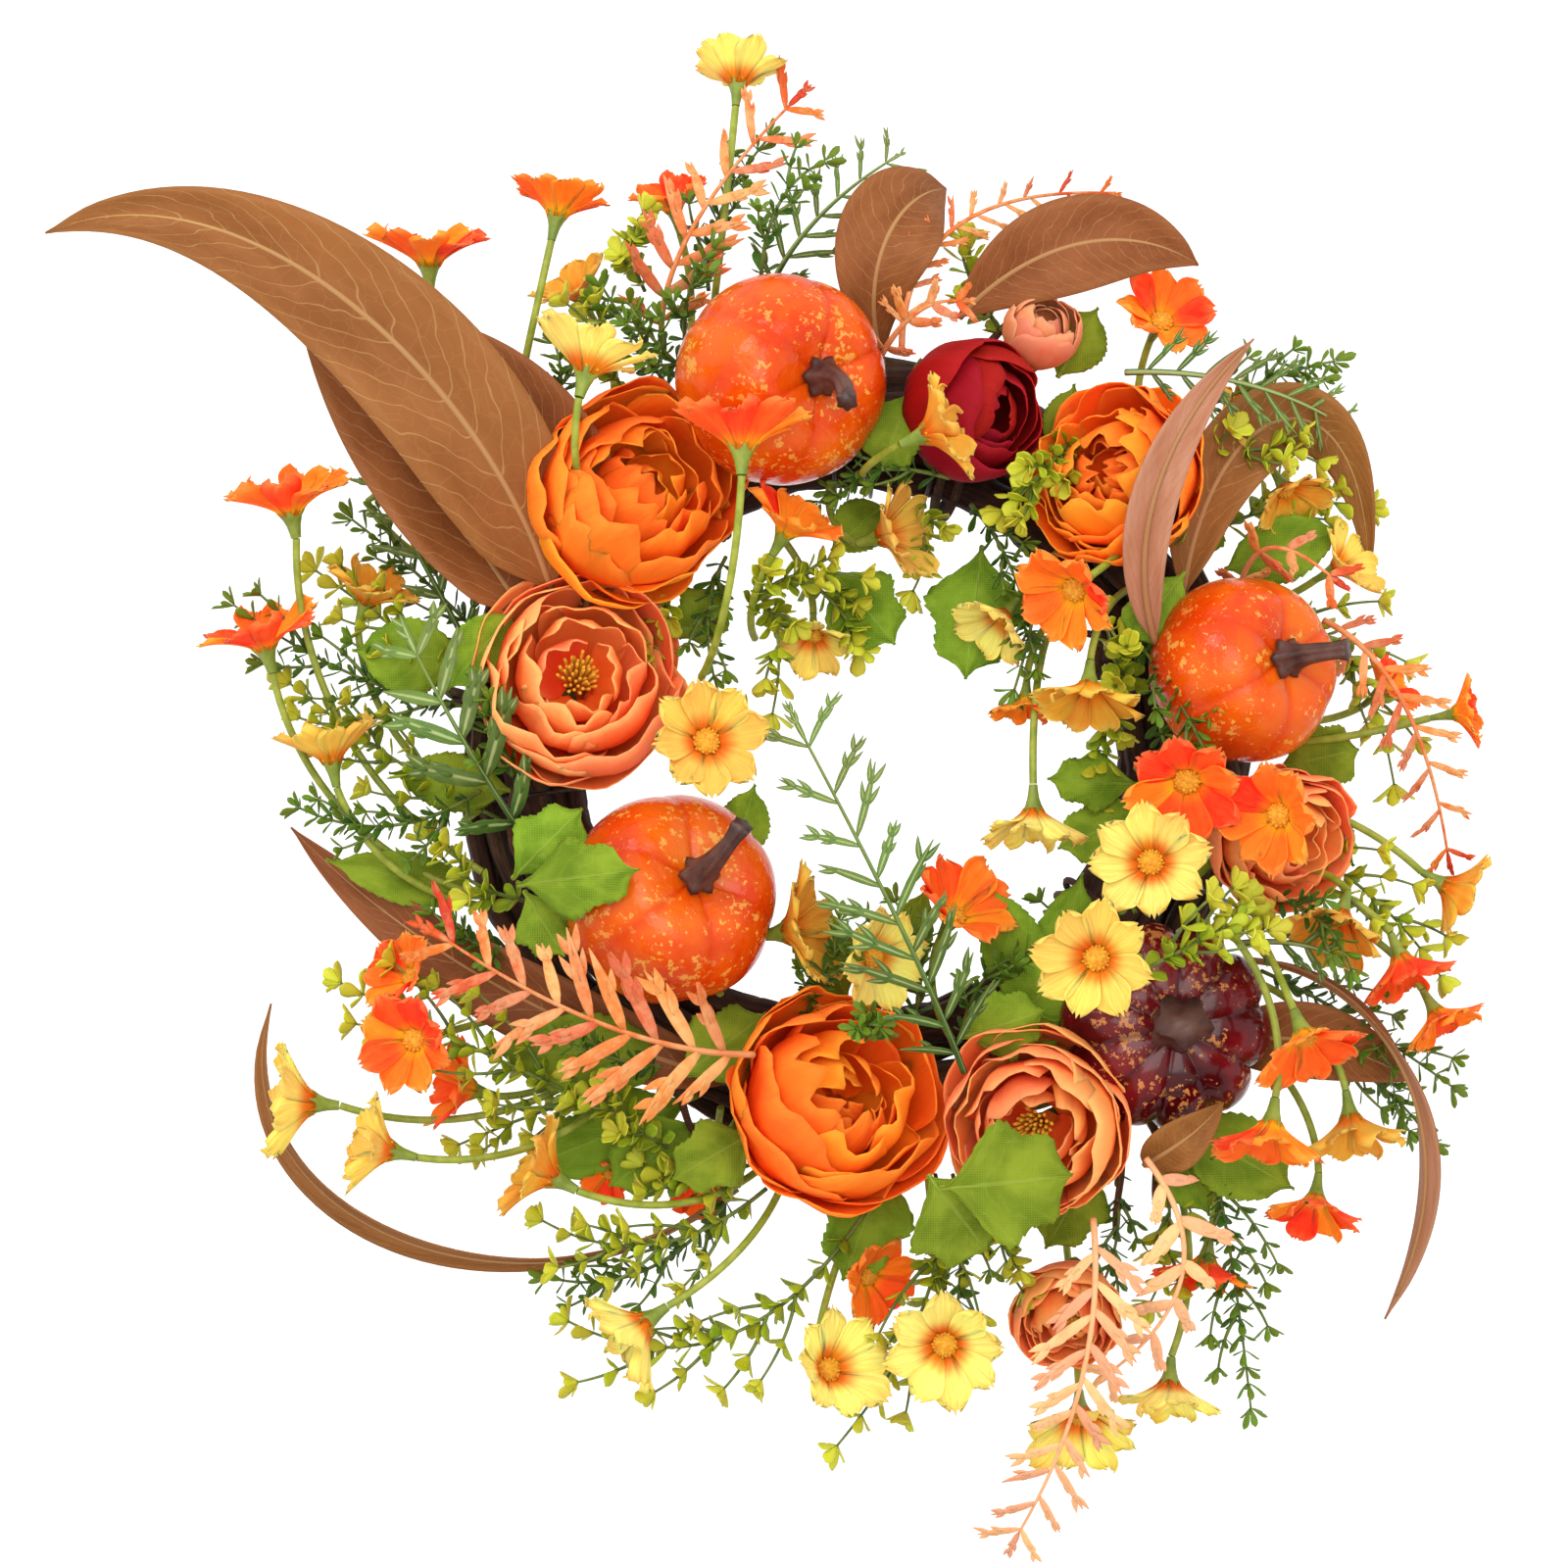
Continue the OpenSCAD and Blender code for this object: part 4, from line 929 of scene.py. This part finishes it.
def pumpkin(build, at, axis, r, high, lobes, depth, dip, rng):
    """A lobed body round axis. depth is how deep the grooves are, dip how deep the top sinks."""
    turn = basis(axis, rng.uniform(0, TAU))
    lat = np.linspace(-math.pi / 2 + 0.02, math.pi / 2 - 0.02, 56)[:, None]
    a = circle(144)
    uneven = 0.25 * np.sin(a + rng.uniform(0, 6)) + 0.15 * np.sin(2 * a + rng.uniform(0, 6))
    ridge = np.abs(np.cos((a + 0.12 * uneven) * lobes / 2))
    ridge = 1 - (1 - ridge ** 0.6) ** 1.1
    lobe = 1 - depth * (1 - ridge) * np.cos(lat) ** 0.35 + 0.012 * uneven
    lump = 0.01 * np.sin(3 * a + 5 * lat + rng.uniform(0, 6)) * np.cos(lat)
    out = r * np.cos(lat) ** 0.82 * (lobe + lump) * 0.985
    up = high * np.sin(lat) * (1 + 0.03 * uneven) * (0.96 + 0.04 * ridge)
    up = up - dip * np.exp(-((np.pi / 2 - lat) / 0.42) ** 2)
    up = up + 0.5 * dip * np.exp(-((np.pi / 2 + lat) / 0.3) ** 2)
    local = ring(out, a, up)
    # the red mark is the ridge, which the skin reads to paint shade into the grooves
    k = build.grid(at + local @ turn.T, (ridge, (lat + 1.57) / 3.14, 0.5, 0.5), wrap=True)
    build.cap(k[0][::-1], k[-1])


def stalk(build, root, axis, tip, foot_r, top_r, ridges, rng):
    """A ridged, bent stalk from root to tip, flared where it meets the pumpkin."""
    s = np.linspace(0, 1, 22)
    t = s[:, None]
    mid = root + axis * np.linalg.norm(tip - root) * 0.55
    path = (1 - t) ** 2 * root + 2 * t * (1 - t) * mid + t ** 2 * tip
    radius = top_r + (foot_r - top_r) * np.exp(-s * 5.5) + 0.25 * top_r * smooth(s, 0.82, 1.0)
    a = circle(24)
    wobble = 1 + 0.16 * np.cos(ridges * a + 1.6 * t) + 0.05 * np.sin(2 * a + 9 * t)
    build.tube(path, radius, 24, (None, None, rng.random(), 0.5), wobble)


def vines(build, ring_r, y, reach, rng, count):
    """Rough vines that wander round the ring inside one hoop's own round section."""
    a = np.linspace(0, TAU, 151)
    for k in range(count):
        phase = TAU * k / count + rng.uniform(-0.4, 0.4)
        turns = rng.choice([1, 2, 2, 3])
        thick = reach * rng.uniform(0.26, 0.42)
        swing = (reach - thick * 1.1) * (0.8 + 0.2 * np.sin(3 * a + rng.uniform(0, 6)))
        jog = 0.0006 * np.sin(23 * a + rng.uniform(0, 6)) + 0.0008 * np.sin(11 * a + phase)
        rr = ring_r + swing * np.cos(turns * a + phase) + jog
        path = xyz(rr * np.sin(a), y + swing * np.sin(turns * a + phase), rr * np.cos(a))
        knots = 1 + 0.1 * np.sin(31 * a + phase) ** 6 + 0.06 * np.sin(7 * a + phase)
        b = circle(10)
        wobble = 1 + 0.1 * np.cos(3 * b + 5 * a[:, None]) + 0.05 * np.cos(5 * b)
        build.tube(path, thick * knots, 10, (None, None, rng.random(), 0.5), wobble)


# ---------- put the wreath together


def show(build, name, material, slot, *nodes, **how):
    """Makes the object and hides the CAD nodes that it stands for. slot is not used."""
    o = build.object(name, MAT[material], **how)
    if nodes:
        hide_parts(*nodes)
    return o


WRAP_R = 0.0022         # radius of a binding vine


def make_vines():
    for k, hoop in enumerate(hoops, 1):
        b = Build()
        vines(b, *hoop, dice(100 + k), 5)
        show(b, f"grapevine_{k}", "bark", "bark", f"vine_hoop_{k}")
    rng = dice(120)
    b = Build()
    a = np.linspace(0, TAU, 97)
    for points, _ in loose_parts("vine_wraps"):
        c, axis, r = revolve(points)
        x, y = across(axis)
        for j in range(2):
            lean = rng.uniform(-0.10, 0.10)
            rr = r - WRAP_R - 0.0003 - 0.0006 * np.sin(5 * a + j)
            along = ((j - 0.5) * 0.0035 + 0.012 * lean * np.sin(a + j)
                     + 0.0012 * np.sin(3 * a + 2 * j))
            path = sheet(c, (x, rr * np.cos(a)), (y, rr * np.sin(a)), (axis, along))
            b.tube(path, WRAP_R * rng.uniform(0.55, 0.8), 8, (None, None, rng.random(), 0.5))
    show(b, "vine_bindings", "wrap_vine", "wrap_vine", "vine_wraps")
    b = Build()
    for points, _ in loose_parts("vine_tips"):
        c = points.mean(0)
        far = points[np.argmax(np.linalg.norm(points - c, axis=1))]
        other = points[np.argmax(np.linalg.norm(points - far, axis=1))]
        root, end = sorted((far, other), key=lambda p: abs(math.hypot(p[0], p[2]) - RING_R))
        mid = points[np.argsort(np.abs((points - c) @ unit(far - other)))[:24]].mean(0)
        path = resample([root, mid, end], 20) + 0.0006 * np.sin(np.linspace(0, 14, 20))[:, None]
        b.tube(path, np.linspace(0.0021, 0.0009, 20), 8, (None, None, rng.random(), 0.5))
    show(b, "twig_tips", "twig", "bark", "vine_tips")


# grooves, their depth, dip of the top / r, height / the CAD's, stalk's foot, top and ridges
ORANGE = (6, 0.035, 0.24, 1.06, 0.0068, 0.0027, 6)
PUMPKINS = {"top": ORANGE, "right": ORANGE, "left": ORANGE,
            "dark": (10, 0.13, 0.1, 1.0, 0.0096, 0.0072, 5)}


def make_pumpkins():
    for k, (name, shape) in enumerate(PUMPKINS.items()):
        lobes, depth, dip, taller, foot_r, top_r, ridges = shape
        rng = dice(200 + k)
        node = f"pumpkin_{name}"
        points = loose_parts(node)[0][0]
        c, axis, r = revolve(points)
        tall = (points - c) @ axis
        at = c + axis * (tall.max() + tall.min()) / 2
        stem = loose_parts(node + "_stalk")[0][0]
        if (stem.mean(0) - at) @ axis < 0:
            axis = -axis
        b = Build()
        pumpkin(b, at, axis, r, np.ptp(tall) / 2 * taller, lobes, depth, dip * r, rng)
        skin = "foam_burgundy" if name == "dark" else "foam_orange"
        show(b, f"{node}_body", skin, skin, node)
        reach = (stem - at) @ axis
        root = at + axis * (reach.min() - MM)
        end = stem[reach > reach.max() - 2 * MM].mean(0)
        b = Build()
        stalk(b, root, axis, end, foot_r, top_r, ridges, rng)
        show(b, f"{node}_stem", "stalk", "stalk", node + "_stalk")


BLOOMS = [(f"ranunculus_{at}", "silk_orange") for at in ("upper_left", "bottom", "upper_right")]
BLOOMS += [(f"peony_{at}", "silk_salmon") for at in ("left", "bottom", "right", "low")]
BLOOMS += [(f"bud_{at}", f"silk_{at}") for at in ("burgundy", "peach")]


def make_blooms():
    cups = [points.mean(0) for points, _ in loose_parts("bloom_calyxes")]
    green_cups, centres = Build(), Build()
    for k, (node, tint) in enumerate(BLOOMS):
        kind = node.split("_")[0]
        rng = dice(300 + k)
        points = np.concatenate([p for p, _ in loose_parts(node)])
        c, axis, _ = revolve(points)
        back = unit(c - min(cups, key=lambda q: np.linalg.norm(q - c)))
        axis = back if abs(back @ axis) > 0.9 else axis
        tall, radial = about(points, c, axis)
        r = radial.max()
        at = c + axis * (tall.min() + r)
        b = Build()
        bloom(b, at, axis, r, kind, rng)
        show(b, node + "_petals", tint, tint, node, thick=SILK)
        sepals(green_cups, at, axis, r, rng)
        for j in range(STAMENS if kind == "peony" else 0):
            f, d = spiral(j, STAMENS, 0.5)
            d = unit(basis(axis) @ d)
            foot = at - axis * 0.28 * r
            head = foot + d * r * rng.uniform(0.36, 0.48)
            centres.tube([foot + d * 0.05 * r, (foot + head) / 2, head, head + d * 0.0012],
                         [0.0002, 0.00022, 0.0007, 0.0005], 5, (None, None, f, 0.5))
    show(green_cups, "bloom_sepals", "calyx", "calyx", "bloom_calyxes", thick=WOVEN)
    show(centres, "peony_stamens", "stamen", "silk_salmon")


ZONES = ("upper_left", "lower_left", "upper_right", "lower_right")
CUP = 0.5      # depth of a daisy's dish in the CAD solids, for each unit of radius


def make_daisies():
    for z, zone in enumerate(ZONES):
        calyx, stamens = Build(), Build()
        for tint in ("orange", "yellow"):
            node = f"{tint}_daisies_{zone}"
            rng = dice(400 + 10 * z + (tint == "orange"))
            petals = Build()
            for points, _ in loose_parts(node):
                c, axis = points.mean(0), rim_axis(points)
                tall, out = about(points, c, axis)
                r = out.max()
                if tall[out > 0.9 * r].mean() < 0:
                    axis, tall = -axis, -tall
                daisy(petals, calyx, stamens, c + axis * (tall.max() - CUP * r), axis, r, rng)
            show(petals, f"{node}_petals", f"daisy_{tint}", f"daisy_{tint}", node, thick=THIN)
        show(calyx, f"daisy_calyxes_{zone}", "calyx", "stem")
        show(stamens, f"daisy_centres_{zone}", "stamen", "daisy_yellow")


# these bronze leaves turn over: degrees at the base and at the tip
TWISTS = {5: (100, 20), 11: (10, 170)}
TURNED = 8              # this one shows its pale back, with the midrib raised on that side
TURNED_LIFT = 4 * MM    # and stands clear of the ranunculus behind it


def make_leaves():
    for k in range(1, 13):
        node = f"bronze_leaf_{k}"
        b = Build()
        turned = k == TURNED
        bronze(b, blades(node)[0], dice(500 + k), 1 if turned else -1, TWISTS.get(k, (0, 0)),
               TURNED_LIFT if turned else 0.0)
        faces = ["bronze_leaf", "bronze_under"][::-1 if turned else 1]
        o = show(b, node + "_blade", faces[0], "bronze_leaf", node, thick=SATIN)
        # the back of the leaf has its own material
        o.data.materials.append(MAT[faces[1]])
        o.modifiers["thickness"].material_offset = 1
    for k, zone in enumerate(("left", "top", "right", "bottom")):
        node = f"green_leaves_{zone}"
        rng = dice(530 + k)
        b = Build()
        for rows in blades(node):
            green(b, rows, rng)
        show(b, node + "_blades", "green_leaf", "green_leaf", node, thick=WOVEN)


# length and width of a leaflet, and the pitch of its whorls
SPRIGS = {"box_dark": (0.0062, 0.0027, 0.0056), "box_light": (0.0074, 0.0052, 0.0088)}


def make_sprays():
    for kind, wide, lean in (("fern", 0.16, 0.9), ("cutleaf", 0.105, 1.0)):
        node = f"{kind}_sprays"
        rng = dice(560 + len(node))
        leaves, stems = Build(), Build()
        for rows in blades(node):
            spray(leaves, stems, rows, 2, wide, rng, lean)
        show(leaves, node + "_leaflets", kind, kind, node, thick=WOVEN)
        show(stems, node + "_stems", kind, kind)
    for side in ("left", "right"):
        node = f"box_sprigs_{side}"
        rng = dice(590 + len(side))
        builds = {kind: (Build(), Build()) for kind in SPRIGS}
        for k, rows in enumerate(blades(node)):
            kind = "box_light" if k % 2 else "box_dark"
            sprig(*builds[kind], rows, rng, *SPRIGS[kind])
        for kind, (leaves, stems) in builds.items():
            show(leaves, f"{node}_{kind}", kind, "box_leaf", node, thick=THIN)
            show(stems, f"{node}_{kind}_stems", "stem_dark", "box_leaf")


def give_cad_materials():
    for material, nodes in (("stem", [f"daisy_stems_{zone}" for zone in ZONES]),
                            ("wire", ["wire_ties", "hanging_loop", "loop_saddle"])):
        for node in nodes:
            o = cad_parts[node]
            o.data.materials.clear()
            o.data.materials.append(MAT[material])


FLOOR_GAP = 0.18                        # from the lowest leaf down to the floor
DISTANCE, VIEW_WIDTH = 1.8, 0.5333      # from the camera to the flowers, and what it sees there
SENSOR = 36.0                           # millimetres, as the lens is


def make_studio():
    middle = (cad_lo + cad_hi) / 2
    scene = bpy.context.scene
    scene.view_settings.view_transform = "Standard"
    scene.world = bpy.data.worlds.new("studio")
    scene.world.use_nodes = True
    back = scene.world.node_tree.nodes["Background"]
    back.inputs["Color"].default_value = (1.0, 1.0, 1.0, 1.0)
    back.inputs["Strength"].default_value = 1.3
    for name, at, size, power in (("key", (-1.0, -1.6, 1.4), 0.7, 13.0),
                                  ("front", (0.15, -2.3, 0.45), 1.5, 28.0)):
        lamp = bpy.data.lights.new(name, "AREA")
        lamp.size, lamp.energy = size, power
        o = link(name, lamp)
        o.location = at
        o.rotation_euler = (middle - o.location).to_track_quat("-Z", "Y").to_euler()
    # a pale round floor well below the wreath
    floor = Build()
    a = circle(96)
    radius = np.array([0.002, 0.4, 0.8, 0.98, 1.0, 1.0])[:, None]
    drop = np.array([0, 0, 0, 0, -0.004, -0.02])[:, None]
    p = ring(radius, a, cad_lo[2] - FLOOR_GAP + drop)
    floor.grid(p, (0.5, 0.5, 0.5, 0.5), wrap=True)
    mesh = bpy.data.meshes.new("floor")
    mesh.from_pydata(np.concatenate(floor.points).tolist(), [], floor.faces)
    o = link("floor", mesh)
    s = Shader("floor", rough=0.9, specular=0.1)
    s.done(s.mix(s.noise(s.position, 3.0), srgb(246, 245, 243), srgb(250, 249, 247)))
    mesh.materials.append(MAT["floor"])
    # the camera looks straight along +Y at the wreath
    lens = bpy.data.cameras.new("camera")
    lens.sensor_width = SENSOR
    lens.lens = SENSOR * DISTANCE / VIEW_WIDTH
    camera = link("camera", lens)
    camera.location = (middle[0] + 0.004, -0.08 - DISTANCE, middle[2] + 0.001)
    camera.rotation_euler = (math.pi / 2, 0, 0)
    scene.camera = camera


make_studio()
make_vines()
make_pumpkins()
make_blooms()
make_daisies()
make_leaves()
make_sprays()
give_cad_materials()
